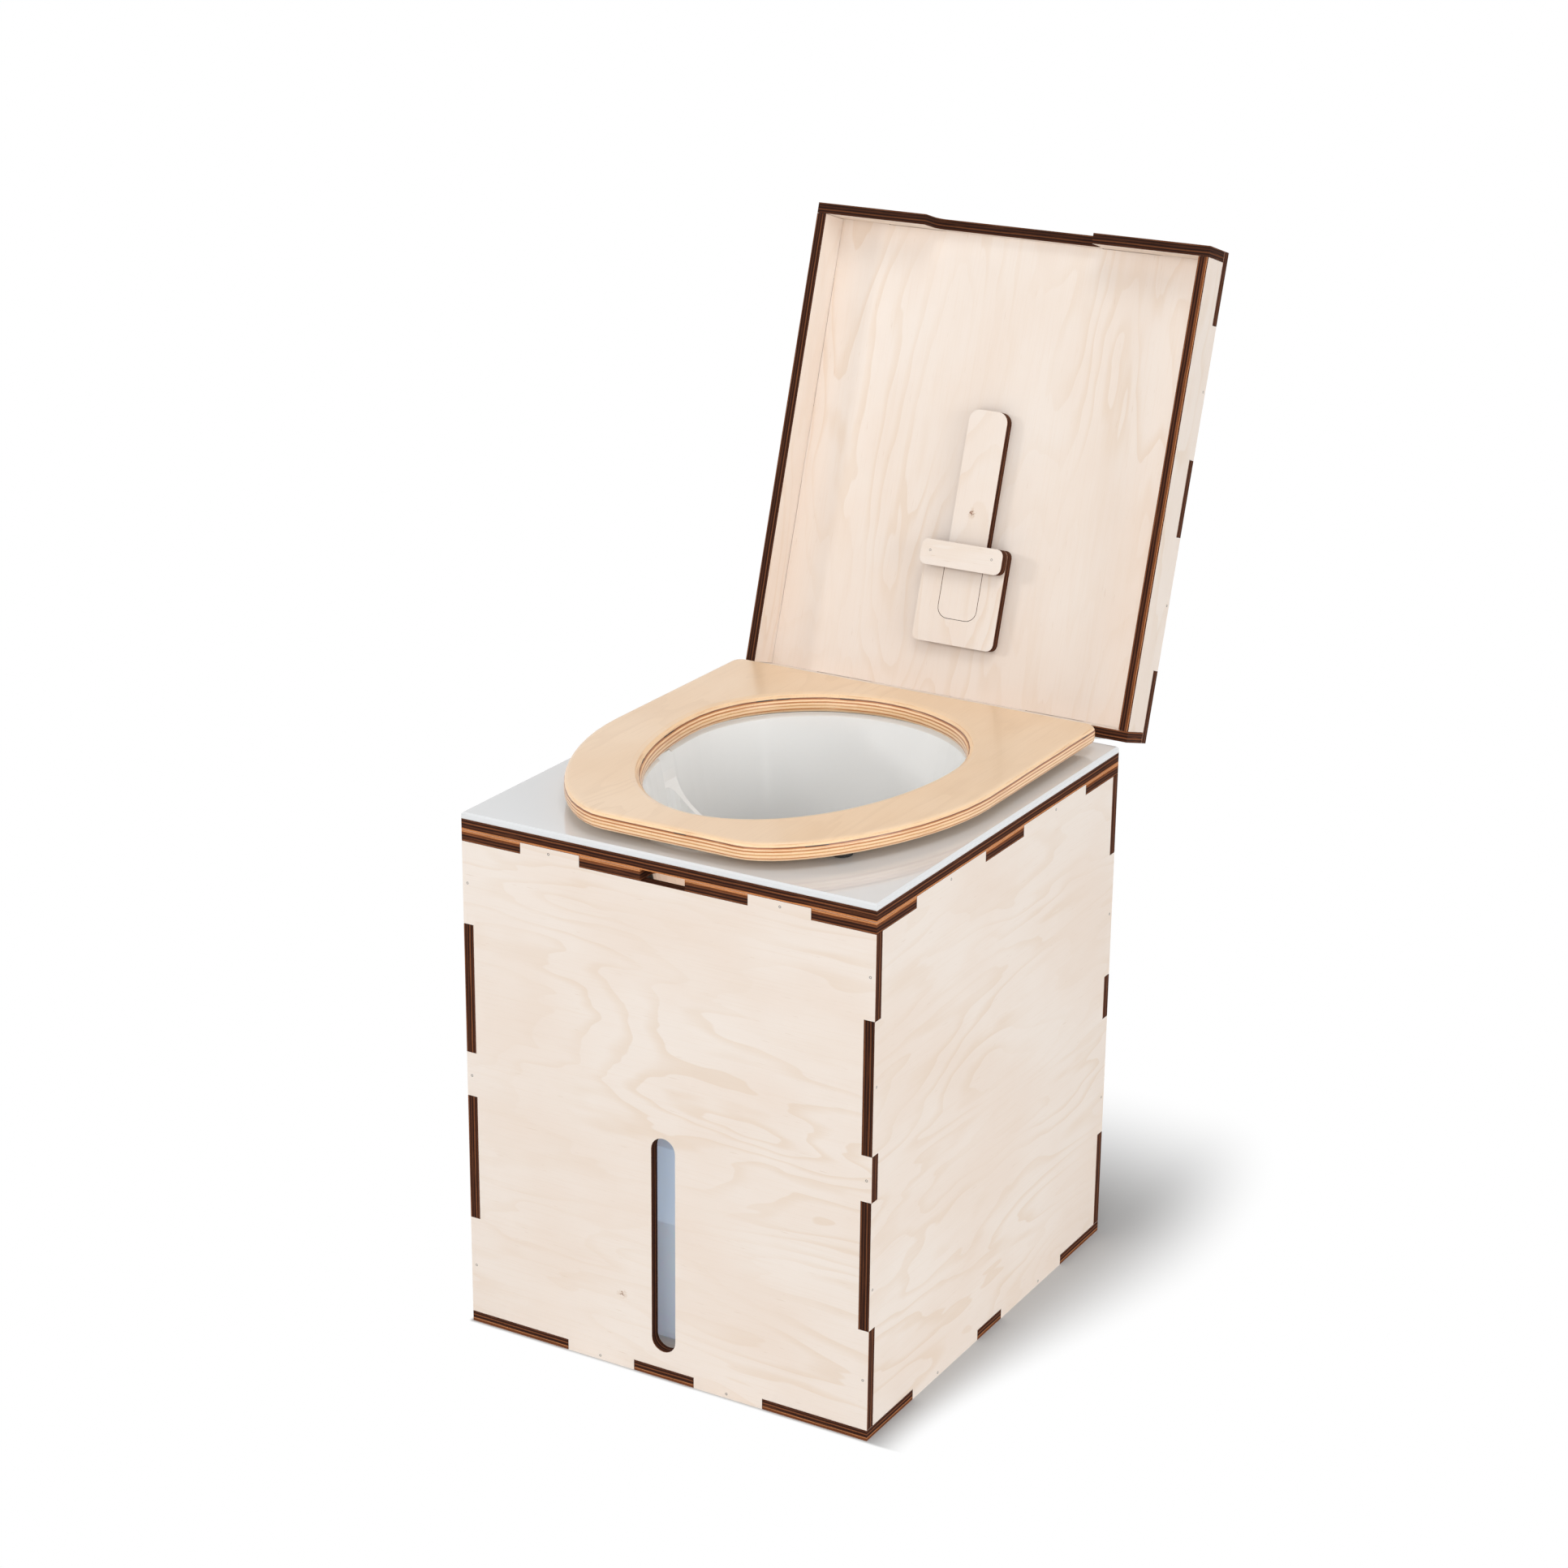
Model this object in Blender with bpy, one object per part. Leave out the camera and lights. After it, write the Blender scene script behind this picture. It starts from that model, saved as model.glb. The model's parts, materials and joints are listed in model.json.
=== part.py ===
"""Separating dry toilet: a finger-jointed birch plywood case with a hinged seat board and a hinged lid.

The frame of the part: +Z up, the front faces -Y, the origin is the middle of the case's footprint on
the floor. All sizes are in metres. The case stands closed at the seat board, and the lid is open.
"""

import math

import bmesh
import bpy
from mathutils import Vector

# Case
WIDTH = 0.370
DEPTH = 0.4135
CASE_HEIGHT = 0.431
PLY = 0.009
GAP = 0.0003
OVERRUN = 0.003

# Places where fingers and tabs change along each edge, as shares of that edge
TOP_FRONT_SHARES = (0.149, 0.297, 0.703, 0.851)
TOP_SIDE_SHARES = (0.149, 0.421, 0.579, 0.851)
BOTTOM_FRONT_SHARES = (0.2535, 0.4245, 0.5755, 0.7465)
BOTTOM_SIDE_SHARES = (0.180, 0.449, 0.551, 0.820)
CORNER_SHARES = (0.2204, 0.4724, 0.5615, 0.8172)

# Window slot in the front panel, and the top frame that carries the seat board
WINDOW_WIDTH = 0.022
WINDOW_BOTTOM = 0.024
WINDOW_TOP = 0.211
FRAME_STRIP = 0.030
FRAME_CORNER_RADIUS = 0.008
NOTCH_WIDTH = 0.040
NOTCH_DEPTH = 0.022
NOTCH_RADIUS = 0.008

# Seat board: plywood board, white cover plate, seat ring on rubber buffers
COVER_THICKNESS = 0.005
COVER_CHAMFER = 0.0015
CUTOUT_MARGIN = 0.008
SEAT_THICKNESS = 0.015
SEAT_OVER_RIM = 0.0014
SEAT_EDGE_RADIUS = 0.005
SEAT_HOLE_RADIUS = 0.010
SEAT_HOLE_LIP = 0.002
SEAT_FRONT_INSET = 0.0055
SEAT_SIDE_INSET = 0.0108
SEAT_BACK_INSET = 0.0165
SEAT_BACK_RADIUS = 0.011
SEAT_FRONT_STRAIGHT_SHARE = 0.333
SEAT_FRONT_PULL_SHARE = 0.287
SEAT_SIDE_STRAIGHT_SHARE = 0.498
SEAT_SIDE_PULL_SHARE = 0.468
SEAT_FRONT_RIM = 0.0405
SEAT_SIDE_RIM = 0.0537
SEAT_BACK_RIM = 0.038
HOLE_BACK = 0.121
BUFFER_RADIUS = 0.009
BUFFER_FLANGE_ROOM = 0.0066855
BUFFER_FRONT_SIDE_INSET = 0.0622
BUFFER_BACK_INSET = 0.022
BUFFER_BACK_SIDE_INSET = 0.0442

# Separating insert: tub under the seat hole, front bowl with spout, open chute at the back
INSERT_WALL = 0.003
FLANGE_REACH = 0.022
FLANGE_THICKNESS = 0.003
RIM_HEIGHT = 0.0058
RIM_WIDTH = 0.006
RIM_MARGIN = 0.003
RIM_ROUND = 0.003
TUB_DEPTH = 0.074
TUB_TAPER = 0.014
CHUTE_DEPTH = 0.114
CHUTE_TAPER = 0.022
BOWL_DEPTH = 0.100
BOWL_SHELF_DEPTH = 0.080
BOWL_TAPER = 0.020
DISH_SHARES = ((0.12, 0.35), (0.35, 0.65), (0.70, 0.88), (1.0, 1.0))
DIVIDER_SETBACK = 0.044
DIVIDER_THICKNESS = 0.005
DIVIDER_FILLET = 0.012
SADDLE_DEPTH = 0.072
SKIN_STEP = 0.0005
SPOUT_RADIUS = 0.014
SPOUT_WALL = 0.0025
SPOUT_SHARE = 0.4615
SPOUT_DIP = 0.004

# Lid
LID_DEPTH = 0.041
LID_OPEN_DEGREES = 107.3
RECESS_WIDTH = 0.158
RECESS_DEPTH = 0.0245
RECESS_RADIUS = 0.008

# Holder inside the lid: a base plate with a slot, a bridge over it and a tongue that slides in it
HOLDER_WIDTH = 0.078
HOLDER_START = 0.053
HOLDER_LENGTH = 0.0875
HOLDER_RADIUS = 0.006
BRIDGE_LENGTH = 0.022
SLOT_WIDTH = 0.0375
SLOT_END = 0.022
SLOT_RADIUS = 0.010
TONGUE_PLAY = 0.0005
TONGUE_LENGTH = 0.1807

# Hinges: the seat board turns on the case and the lid turns on the seat board, on one line behind both
HINGE_BELOW_COVER = 0.0055
LEAF_THICKNESS = 0.0015
LEAF_MARGIN = 0.001
PIN_RADIUS = 0.0020
PIN_PLAY = 0.0001
PIN_HEAD_RIM = 0.0011
PIN_HEAD_LENGTH = 0.0012
KNUCKLE_WALL = 0.0017
KNUCKLE_ROOM = 0.001
KNUCKLE_LENGTH = 0.018
HINGE_LENGTH = 0.058
LID_HINGE_SHARE = 0.6757
BOARD_HINGE_SHARE = 0.2378
BOARD_LEAF_ROOM = 0.003
CASE_LEAF_DROP = 0.0034
CASE_LEAF_HEIGHT = 0.040
LID_LEAF_MARGIN = 0.0012
LID_LEAF_HEIGHT = 0.026
WEB_INSET = 0.0030
STOP_WIDTH = 0.0028
STOP_LAP = 0.0025
BOARD_OPEN_DEGREES = 80.0

# Canister for the liquids, behind the window
LIFT_ROOM = 0.005
CANISTER_SETBACK = 0.029
CANISTER_MOUTH_INSET = 0.038
CANISTER_HEIGHT = 0.214
CANISTER_WALL = 0.0025
CANISTER_CORNER = 0.014
CANISTER_EDGE = 0.009
NECK_RADIUS = 0.0235
NECK_HEIGHT = 0.016
NECK_LIP = 0.0025
GRIP_REACH = 0.070
GRIP_SIDE_INSET = 0.023
GRIP_HEIGHT = 0.030
GRIP_WIDTH = 0.018
GRIP_THICKNESS = 0.006

# Bucket for the solids, behind the canister
BUCKET_LIFT_ROOM = 0.0015
BUCKET_HEIGHT = 0.306
BUCKET_TAPER = 0.022
BUCKET_WALL = 0.0025
BUCKET_CORNER = 0.036
BUCKET_FOOT_EDGE = 0.008
BUCKET_RIM = 0.006
BUCKET_RIM_HEIGHT = 0.012
CONTAINER_PLAY = 0.002

# Facets
ARC_STEPS = 6
SMALL_STEPS = 4
ROUND_STEPS = 24
SEAT_CURVE_STEPS = 16
SEAT_SIDE_POINTS = 7
SEAT_FRONT_POINTS = 4
SEAT_BACK_POINTS = 8
TUB_STEPS = 64
WALL_STEPS = 30
CONTAINER_STEPS = 6
SMOOTH_DEGREES = 35.0
SHARPEST_CORNER = 0.5
MERGE_DIGITS = 7
SAME_POINT = 0.000001

# Case and seat board sizes that follow
HALF_WIDTH = WIDTH / 2
HALF_DEPTH = DEPTH / 2
HALF_GAP = GAP / 2
REACH = PLY + GAP
FRONT = -HALF_DEPTH
BACK = HALF_DEPTH
FLOOR = PLY + GAP
BOARD_BOTTOM = CASE_HEIGHT + GAP
BOARD_TOP = BOARD_BOTTOM + PLY
COVER_BOTTOM = BOARD_TOP + GAP
COVER_TOP = COVER_BOTTOM + COVER_THICKNESS
RIM_TOP = COVER_TOP + RIM_HEIGHT
FLANGE_BOTTOM = COVER_TOP + GAP
SEAT_BOTTOM = RIM_TOP + SEAT_OVER_RIM
SEAT_TOP = SEAT_BOTTOM + SEAT_THICKNESS
SEAT_FRONT = FRONT + SEAT_FRONT_INSET
SEAT_BACK = BACK - SEAT_BACK_INSET
SEAT_HALF_WIDTH = HALF_WIDTH - SEAT_SIDE_INSET
HOLE_HALF_WIDTH = SEAT_HALF_WIDTH - SEAT_SIDE_RIM
HOLE_Y = SEAT_BACK - SEAT_BACK_RIM - HOLE_BACK
HOLE_FRONT = HOLE_Y - SEAT_FRONT - SEAT_FRONT_RIM

# Insert, canister and bucket sizes that follow
BOWL_LENGTH = HOLE_FRONT - DIVIDER_SETBACK - DIVIDER_THICKNESS
SPOUT_Y = HOLE_Y - HOLE_FRONT + BOWL_LENGTH * SPOUT_SHARE
CONTAINER_WIDTH = WIDTH - 2 * (FRAME_STRIP + LIFT_ROOM)
CANISTER_FRONT = FRONT + PLY + CANISTER_SETBACK
CANISTER_DEPTH = SPOUT_Y + CANISTER_MOUTH_INSET - CANISTER_FRONT
CANISTER_Y = CANISTER_FRONT + CANISTER_DEPTH / 2
CANISTER_TOP = FLOOR + CANISTER_HEIGHT
BUCKET_FRONT = CANISTER_FRONT + CANISTER_DEPTH + CONTAINER_PLAY
BUCKET_DEPTH = BACK - FRAME_STRIP - BUCKET_LIFT_ROOM - BUCKET_FRONT
BUCKET_Y = BUCKET_FRONT + BUCKET_DEPTH / 2
BUCKET_TOP = FLOOR + BUCKET_HEIGHT

# Lid and hinge sizes that follow
LID_RIM = COVER_TOP + GAP
LID_TOP = LID_RIM + LID_DEPTH
LID_INNER = LID_TOP - PLY
LID_OPEN = math.radians(LID_OPEN_DEGREES)
BOARD_OPEN = math.radians(BOARD_OPEN_DEGREES)
BORE_RADIUS = PIN_RADIUS + PIN_PLAY
PIN_HEAD_RADIUS = PIN_RADIUS + PIN_HEAD_RIM
KNUCKLE_RADIUS = BORE_RADIUS + KNUCKLE_WALL
HINGE_BEHIND = GAP + LEAF_THICKNESS + KNUCKLE_ROOM + KNUCKLE_RADIUS
HINGE_Y = BACK + HINGE_BEHIND
HINGE_Z = COVER_TOP - HINGE_BELOW_COVER
HINGE_LINE = Vector((0.0, HINGE_Y, HINGE_Z))
LID_HINGE_X = HALF_WIDTH * LID_HINGE_SHARE
BOARD_HINGE_X = HALF_WIDTH * BOARD_HINGE_SHARE
BOARD_LEAF_LENGTH = 2 * (BOARD_HINGE_X - BOARD_LEAF_ROOM)

# Leaf places, as distances from the hinge line
LEAF_INNER = GAP - HINGE_BEHIND
LEAF_OUTER = LEAF_INNER + LEAF_THICKNESS
CASE_LEAF_TOP = CASE_HEIGHT - CASE_LEAF_DROP - HINGE_Z
BOARD_LEAF_LOW = BOARD_BOTTOM + LEAF_MARGIN - HINGE_Z
BOARD_LEAF_HIGH = COVER_TOP - LEAF_MARGIN - HINGE_Z
LID_LEAF_LOW = LID_RIM + LID_LEAF_MARGIN - HINGE_Z

MATERIALS = {
    "birch_ply": ((0.86, 0.77, 0.66), 0.55, 0.0),
    "seat_birch": ((0.80, 0.65, 0.46), 0.35, 0.0),
    "white_gloss": ((0.90, 0.91, 0.91), 0.12, 0.0),
    "canister_plastic": ((0.78, 0.82, 0.85), 0.40, 0.0),
    "bucket_plastic": ((0.62, 0.64, 0.65), 0.45, 0.0),
    "rubber": ((0.03, 0.03, 0.03), 0.80, 0.0),
    "zinc_steel": ((0.62, 0.62, 0.60), 0.35, 1.0),
}


# Scene and object helpers

def clear_scene():
    """Remove every object that the file holds."""
    for item in list(bpy.data.objects):
        bpy.data.objects.remove(item, do_unlink=True)


def material(name):
    """A Principled material from the table, made once."""
    found = bpy.data.materials.get(name)
    if found:
        return found
    color, roughness, metallic = MATERIALS[name]
    made = bpy.data.materials.new(name)
    made.use_nodes = True
    shader = made.node_tree.nodes["Principled BSDF"]
    shader.inputs["Base Color"].default_value = (*color, 1.0)
    shader.inputs["Roughness"].default_value = roughness
    shader.inputs["Metallic"].default_value = metallic
    made.diffuse_color = (*color, 1.0)
    return made


def empty_at(name, place, parent=None):
    """An empty that marks a joint's line."""
    marker = bpy.data.objects.new(name, None)
    bpy.context.collection.objects.link(marker)
    marker.parent = parent
    marker.location = place - Vector(parent["place"] if parent else (0.0, 0.0, 0.0))
    marker["place"] = place
    return marker


def add_object(name, bm, finish=None, carrier=None, smooth=False):
    """Turn a bmesh in closed-position coordinates into an object, under its carrier where it has one."""
    if carrier:
        bmesh.ops.translate(bm, verts=bm.verts, vec=-Vector(carrier["place"]))
    bmesh.ops.recalc_face_normals(bm, faces=bm.faces)
    mesh = bpy.data.meshes.new(name)
    bm.to_mesh(mesh)
    bm.free()
    if smooth:
        mesh.shade_smooth()
        mesh.set_sharp_from_angle(angle=math.radians(SMOOTH_DEGREES))
    item = bpy.data.objects.new(name, mesh)
    bpy.context.collection.objects.link(item)
    if carrier:
        item.parent = carrier
    if finish:
        mesh.materials.append(material(finish))
    return item


def combine(target, tool, operation):
    """Boolean modifier on the target; the tool stays as a hidden wire guide."""
    step = target.modifiers.new(tool.name, "BOOLEAN")
    step.operation = operation
    step.solver = "EXACT"
    step.object = tool
    tool.hide_render = True
    tool.display_type = "WIRE"


def cut(target, tool):
    combine(target, tool, "DIFFERENCE")


def merge(target, tool):
    combine(target, tool, "UNION")


# Shape helpers

def to_plane(plane, u, v, height):
    """A point of a sheet: front sheets lie in XZ, side sheets in YZ, flat sheets in XY."""
    if plane == "front":
        return Vector((u, height, v))
    if plane == "side":
        return Vector((height, u, v))
    return Vector((u, v, height))


def without_repeats(points):
    """The outline without points that lie on the one before."""
    return [point for index, point in enumerate(points) if math.dist(point, points[index - 1]) > SAME_POINT]


def extrude_outline(bm, points, plane, low, high):
    """Closed prism from an outline of (u, v) points."""
    corners = [bm.verts.new(to_plane(plane, u, v, low)) for u, v in without_repeats(points)]
    face = bm.faces.new(corners)
    grown = bmesh.ops.extrude_face_region(bm, geom=[face])
    raised = [part for part in grown["geom"] if isinstance(part, bmesh.types.BMVert)]
    shift = to_plane(plane, 0.0, 0.0, high - low)
    bmesh.ops.translate(bm, verts=raised, vec=shift)


def prism(points, plane, low, high):
    bm = bmesh.new()
    extrude_outline(bm, points, plane, low, high)
    return bm


def rectangle(left, right, low, high):
    return [(left, low), (right, low), (right, high), (left, high)]


def arc(center, radius, start, end, steps):
    """Points on an arc, angles in degrees."""
    points = []
    for index in range(steps + 1):
        angle = math.radians(start + (end - start) * index / steps)
        points.append((center[0] + radius * math.cos(angle), center[1] + radius * math.sin(angle)))
    return points


def rounded_rectangle(left, right, low, high, radius, steps=ARC_STEPS):
    """Outline with four round corners, anticlockwise from the lower right."""
    points = arc((right - radius, low + radius), radius, -90, 0, steps)
    points += arc((right - radius, high - radius), radius, 0, 90, steps)
    points += arc((left + radius, high - radius), radius, 90, 180, steps)
    points += arc((left + radius, low + radius), radius, 180, 270, steps)
    return points


def is_straight(corner):
    """True where a corner of a lone face lies on a straight line between its neighbours."""
    if len(corner.link_edges) != 2:
        return False
    before, after = (edge.other_vert(corner).co - corner.co for edge in corner.link_edges)
    return before.cross(after).length < SAME_POINT * SAME_POINT


def sheet(rectangles, plane, low, high):
    """Flat sheet from overlapping or touching rectangles (left, right, low, high)."""
    sides = [[round(value, MERGE_DIGITS) for value in box] for box in rectangles]
    columns = sorted({value for box in sides for value in box[:2]})
    rows = sorted({value for box in sides for value in box[2:]})
    bm = bmesh.new()
    corners = {}
    for u in columns:
        for v in rows:
            corners[u, v] = bm.verts.new(to_plane(plane, u, v, low))
    for left, right in zip(columns, columns[1:]):
        for bottom, top in zip(rows, rows[1:]):
            u, v = (left + right) / 2, (bottom + top) / 2
            if any(box[0] < u < box[1] and box[2] < v < box[3] for box in sides):
                keys = ((left, bottom), (right, bottom), (right, top), (left, top))
                bm.faces.new([corners[key] for key in keys])
    loose = [corner for corner in bm.verts if not corner.link_faces]
    bmesh.ops.delete(bm, geom=loose, context="VERTS")
    bmesh.ops.dissolve_faces(bm, faces=list(bm.faces))
    straight = [corner for corner in bm.verts if is_straight(corner)]
    bmesh.ops.dissolve_verts(bm, verts=straight)
    grown = bmesh.ops.extrude_face_region(bm, geom=list(bm.faces))
    raised = [part for part in grown["geom"] if isinstance(part, bmesh.types.BMVert)]
    bmesh.ops.translate(bm, verts=raised, vec=to_plane(plane, 0.0, 0.0, high - low))
    return bm


def finger_spans(shares, length, start, first):
    """Every second stretch of an edge, from the first given, with half a gap off each inner end."""
    marks = (0.0, *shares, 1.0)
    spans = []
    for index in range(first, len(marks) - 1, 2):
        low = start + marks[index] * length + (HALF_GAP if index else 0.0)
        high = start + marks[index + 1] * length - (HALF_GAP if index + 2 < len(marks) else 0.0)
        spans.append((low, high))
    return spans


def loft(loops, close_ends=True):
    """Skin through loops with the same number of points; the ends are capped, or joined to each other."""
    bm = bmesh.new()
    rings = [[bm.verts.new(point) for point in loop] for loop in loops]
    pairs = list(zip(rings, rings[1:]))
    if not close_ends:
        pairs.append((rings[-1], rings[0]))
    for lower, upper in pairs:
        for index in range(len(lower)):
            after = (index + 1) % len(lower)
            bm.faces.new((lower[index], lower[after], upper[after], upper[index]))
    if close_ends:
        bm.faces.new(rings[0])
        bm.faces.new(rings[-1])
    return bm


def at_height(points, z):
    return [Vector((x, y, z)) for x, y in points]


def cylinder(center, radius, low, high, axis, steps=ROUND_STEPS):
    """Closed cylinder along axis x, y or z through the center's other two coordinates."""
    loops = []
    for place in (low, high):
        loop = []
        for across, up in arc((0.0, 0.0), radius, 0, 360, steps)[:-1]:
            if axis == "x":
                loop.append(Vector((place, center[1] + across, center[2] + up)))
            elif axis == "y":
                loop.append(Vector((center[0] + across, place, center[2] + up)))
            else:
                loop.append(Vector((center[0] + across, center[1] + up, place)))
        loops.append(loop)
    return loft(loops)


def turned(center, profile, direction, steps):
    """Solid of revolution: profile of (radius, distance) pairs along a unit direction."""
    along = Vector(direction)
    side = along.orthogonal().normalized()
    other = along.cross(side)
    loops = []
    for radius, distance in profile:
        loop = []
        for across, up in arc((0.0, 0.0), radius, 0, 360, steps)[:-1]:
            loop.append(Vector(center) + along * distance + side * across + other * up)
        loops.append(loop)
    return loft(loops)


# Outlines of the seat, its hole and the insert

def egg(half_width, front, back, steps):
    """Egg outline round the hole's middle: a half ellipse in front, a half ellipse behind."""
    points = []
    for index in range(steps):
        angle = 2 * math.pi * index / steps
        reach = back if math.sin(angle) >= 0 else front
        points.append((half_width * math.cos(angle), HOLE_Y + reach * math.sin(angle)))
    return points


def hole_outline(offset, steps=TUB_STEPS):
    return egg(HOLE_HALF_WIDTH + offset, HOLE_FRONT + offset, HOLE_BACK + offset, steps)


def bezier(start, pull, push, end, steps):
    """Cubic curve from start to end, both ends included."""
    points = []
    for index in range(steps + 1):
        t = index / steps
        weights = ((1 - t) ** 3, 3 * (1 - t) ** 2 * t, 3 * (1 - t) * t ** 2, t ** 3)
        knots = (start, pull, push, end)
        points.append(tuple(sum(w * knot[axis] for w, knot in zip(weights, knots)) for axis in (0, 1)))
    return points


def seat_outline():
    """Half the seat from the middle of its front round to the middle of its back, then the mirror image."""
    side_end = SEAT_BACK - (SEAT_BACK - SEAT_FRONT) * SEAT_SIDE_STRAIGHT_SHARE
    straight = SEAT_HALF_WIDTH * SEAT_FRONT_STRAIGHT_SHARE
    front_pull = straight + SEAT_HALF_WIDTH * SEAT_FRONT_PULL_SHARE
    side_pull = side_end - (side_end - SEAT_FRONT) * SEAT_SIDE_PULL_SHARE
    spacing = straight / SEAT_FRONT_POINTS
    half = [(spacing * index, SEAT_FRONT) for index in range(1, SEAT_FRONT_POINTS)]
    half += bezier(
        (straight, SEAT_FRONT), (front_pull, SEAT_FRONT),
        (SEAT_HALF_WIDTH, side_pull), (SEAT_HALF_WIDTH, side_end), SEAT_CURVE_STEPS)
    corner = (SEAT_HALF_WIDTH - SEAT_BACK_RADIUS, SEAT_BACK - SEAT_BACK_RADIUS)
    for index in range(1, SEAT_SIDE_POINTS):
        half.append((SEAT_HALF_WIDTH, side_end + (corner[1] - side_end) * index / SEAT_SIDE_POINTS))
    half += arc(corner, SEAT_BACK_RADIUS, 0, 90, ARC_STEPS)
    for index in range(SEAT_BACK_POINTS - 1, 0, -1):
        half.append((corner[0] * index / SEAT_BACK_POINTS, SEAT_BACK))
    mirrored = [(-x, y) for x, y in reversed(half)]
    return [(0.0, SEAT_FRONT)] + half + [(0.0, SEAT_BACK)] + mirrored


def offset_outline(points, distance):
    """Move each point of an anticlockwise outline outward along its normal."""
    moved = []
    count = len(points)
    for index in range(count):
        before, here, after = points[index - 1], points[index], points[(index + 1) % count]
        first = Vector((here[1] - before[1], before[0] - here[0])).normalized()
        second = Vector((after[1] - here[1], here[0] - after[0])).normalized()
        normal = (first + second).normalized()
        stretch = 1.0 / max(normal.dot(first), SHARPEST_CORNER)
        moved.append((here[0] + normal.x * distance * stretch, here[1] + normal.y * distance * stretch))
    return moved


def hole_points_facing(outline):
    """Points of the seat's hole on the same rays from its middle as the outline's points."""
    points = []
    reach_x = HOLE_HALF_WIDTH - SEAT_HOLE_LIP
    for x, y in outline:
        reach_y = (HOLE_BACK if y >= HOLE_Y else HOLE_FRONT) - SEAT_HOLE_LIP
        angle = math.atan2((y - HOLE_Y) / reach_y, x / reach_x)
        points.append((reach_x * math.cos(angle), HOLE_Y + reach_y * math.sin(angle)))
    return points


# Case

def clamp_span(span, low, high):
    return max(span[0], low), min(span[1], high)


def wall_panel(name, plane, length, low, bottom_shares, top_shares, corner_first):
    """Upright panel of the case with fingers on all four edges."""
    core_low, core_high = FLOOR, CASE_HEIGHT - REACH
    boxes = [(-length / 2 + REACH, length / 2 - REACH, core_low, core_high)]
    for span in finger_spans(CORNER_SHARES, CASE_HEIGHT, 0.0, corner_first):
        bottom, top = clamp_span(span, core_low, core_high)
        boxes.append((-length / 2, length / 2, bottom, top))
    for left, right in finger_spans(bottom_shares, length, -length / 2, 1):
        boxes.append((left, right, 0.0, core_low))
    for left, right in finger_spans(top_shares, length, -length / 2, 1):
        boxes.append((left, right, core_high, CASE_HEIGHT))
    return add_object(name, sheet(boxes, plane, low, low + PLY), "birch_ply")


def flat_panel(name, low, front_shares, side_shares, carrier=None):
    """Level panel whose fingers fill the places that the walls' tabs leave."""
    boxes = [(-HALF_WIDTH + REACH, HALF_WIDTH - REACH, FRONT + REACH, BACK - REACH)]
    for left, right in finger_spans(front_shares, WIDTH, -HALF_WIDTH, 0):
        boxes.append((left, right, FRONT, FRONT + REACH))
        boxes.append((left, right, BACK - REACH, BACK))
    for near, far in finger_spans(side_shares, DEPTH, FRONT, 0):
        boxes.append((-HALF_WIDTH, -HALF_WIDTH + REACH, near, far))
        boxes.append((HALF_WIDTH - REACH, HALF_WIDTH, near, far))
    return add_object(name, sheet(boxes, "flat", low, low + PLY), "birch_ply", carrier)


def build_case():
    front = wall_panel("front_panel", "front", WIDTH, FRONT, BOTTOM_FRONT_SHARES, TOP_FRONT_SHARES, 0)
    wall_panel("back_panel", "front", WIDTH, BACK - PLY, BOTTOM_FRONT_SHARES, TOP_FRONT_SHARES, 0)
    wall_panel("left_panel", "side", DEPTH, -HALF_WIDTH, BOTTOM_SIDE_SHARES, TOP_SIDE_SHARES, 1)
    wall_panel("right_panel", "side", DEPTH, HALF_WIDTH - PLY, BOTTOM_SIDE_SHARES, TOP_SIDE_SHARES, 1)
    flat_panel("bottom_panel", 0.0, BOTTOM_FRONT_SHARES, BOTTOM_SIDE_SHARES)
    frame = flat_panel("top_frame", CASE_HEIGHT - PLY, TOP_FRONT_SHARES, TOP_SIDE_SHARES)
    half = WINDOW_WIDTH / 2
    slot = rounded_rectangle(-half, half, WINDOW_BOTTOM, WINDOW_TOP, half)
    cut(front, add_object("window_cutter", prism(slot, "front", FRONT - OVERRUN, FRONT + PLY + OVERRUN)))
    opening = rounded_rectangle(
        -HALF_WIDTH + FRAME_STRIP, HALF_WIDTH - FRAME_STRIP,
        FRONT + FRAME_STRIP, BACK - FRAME_STRIP, FRAME_CORNER_RADIUS)
    low, high = CASE_HEIGHT - PLY - OVERRUN, CASE_HEIGHT + OVERRUN
    cut(frame, add_object("frame_opening_cutter", prism(opening, "flat", low, high)))
    notch = rounded_rectangle(
        -NOTCH_WIDTH / 2, NOTCH_WIDTH / 2, FRONT - NOTCH_RADIUS - OVERRUN, FRONT + NOTCH_DEPTH, NOTCH_RADIUS)
    cut(frame, add_object("notch_cutter", prism(notch, "flat", low, high)))


# Containers

def block_loop(width, depth, center_y, radius, inset, z):
    """Rounded rectangle loop at one height, drawn in by the inset."""
    return at_height(rounded_rectangle(
        -width / 2 + inset, width / 2 - inset, center_y - depth / 2 + inset, center_y + depth / 2 - inset,
        max(radius - inset, CANISTER_WALL), CONTAINER_STEPS), z)


def round_loop(center_y, radius, z):
    """Circle with as many points as a block loop, in the same order."""
    count = 4 * (CONTAINER_STEPS + 1)
    start = -90 + 180 / count
    return at_height(arc((0.0, center_y), radius, start, start + 360, count)[:-1], z)


def rounded_edge(inset, radius, z, direction, steps=SMALL_STEPS):
    """(inset, height) pairs round an edge, from the flat face to the wall."""
    pairs = []
    for index in range(steps + 1):
        angle = math.pi / 2 * index / steps
        across, along = radius * (1 - math.sin(angle)), radius * (1 - math.cos(angle))
        pairs.append((inset + across, z + direction * along))
    return pairs


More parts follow.
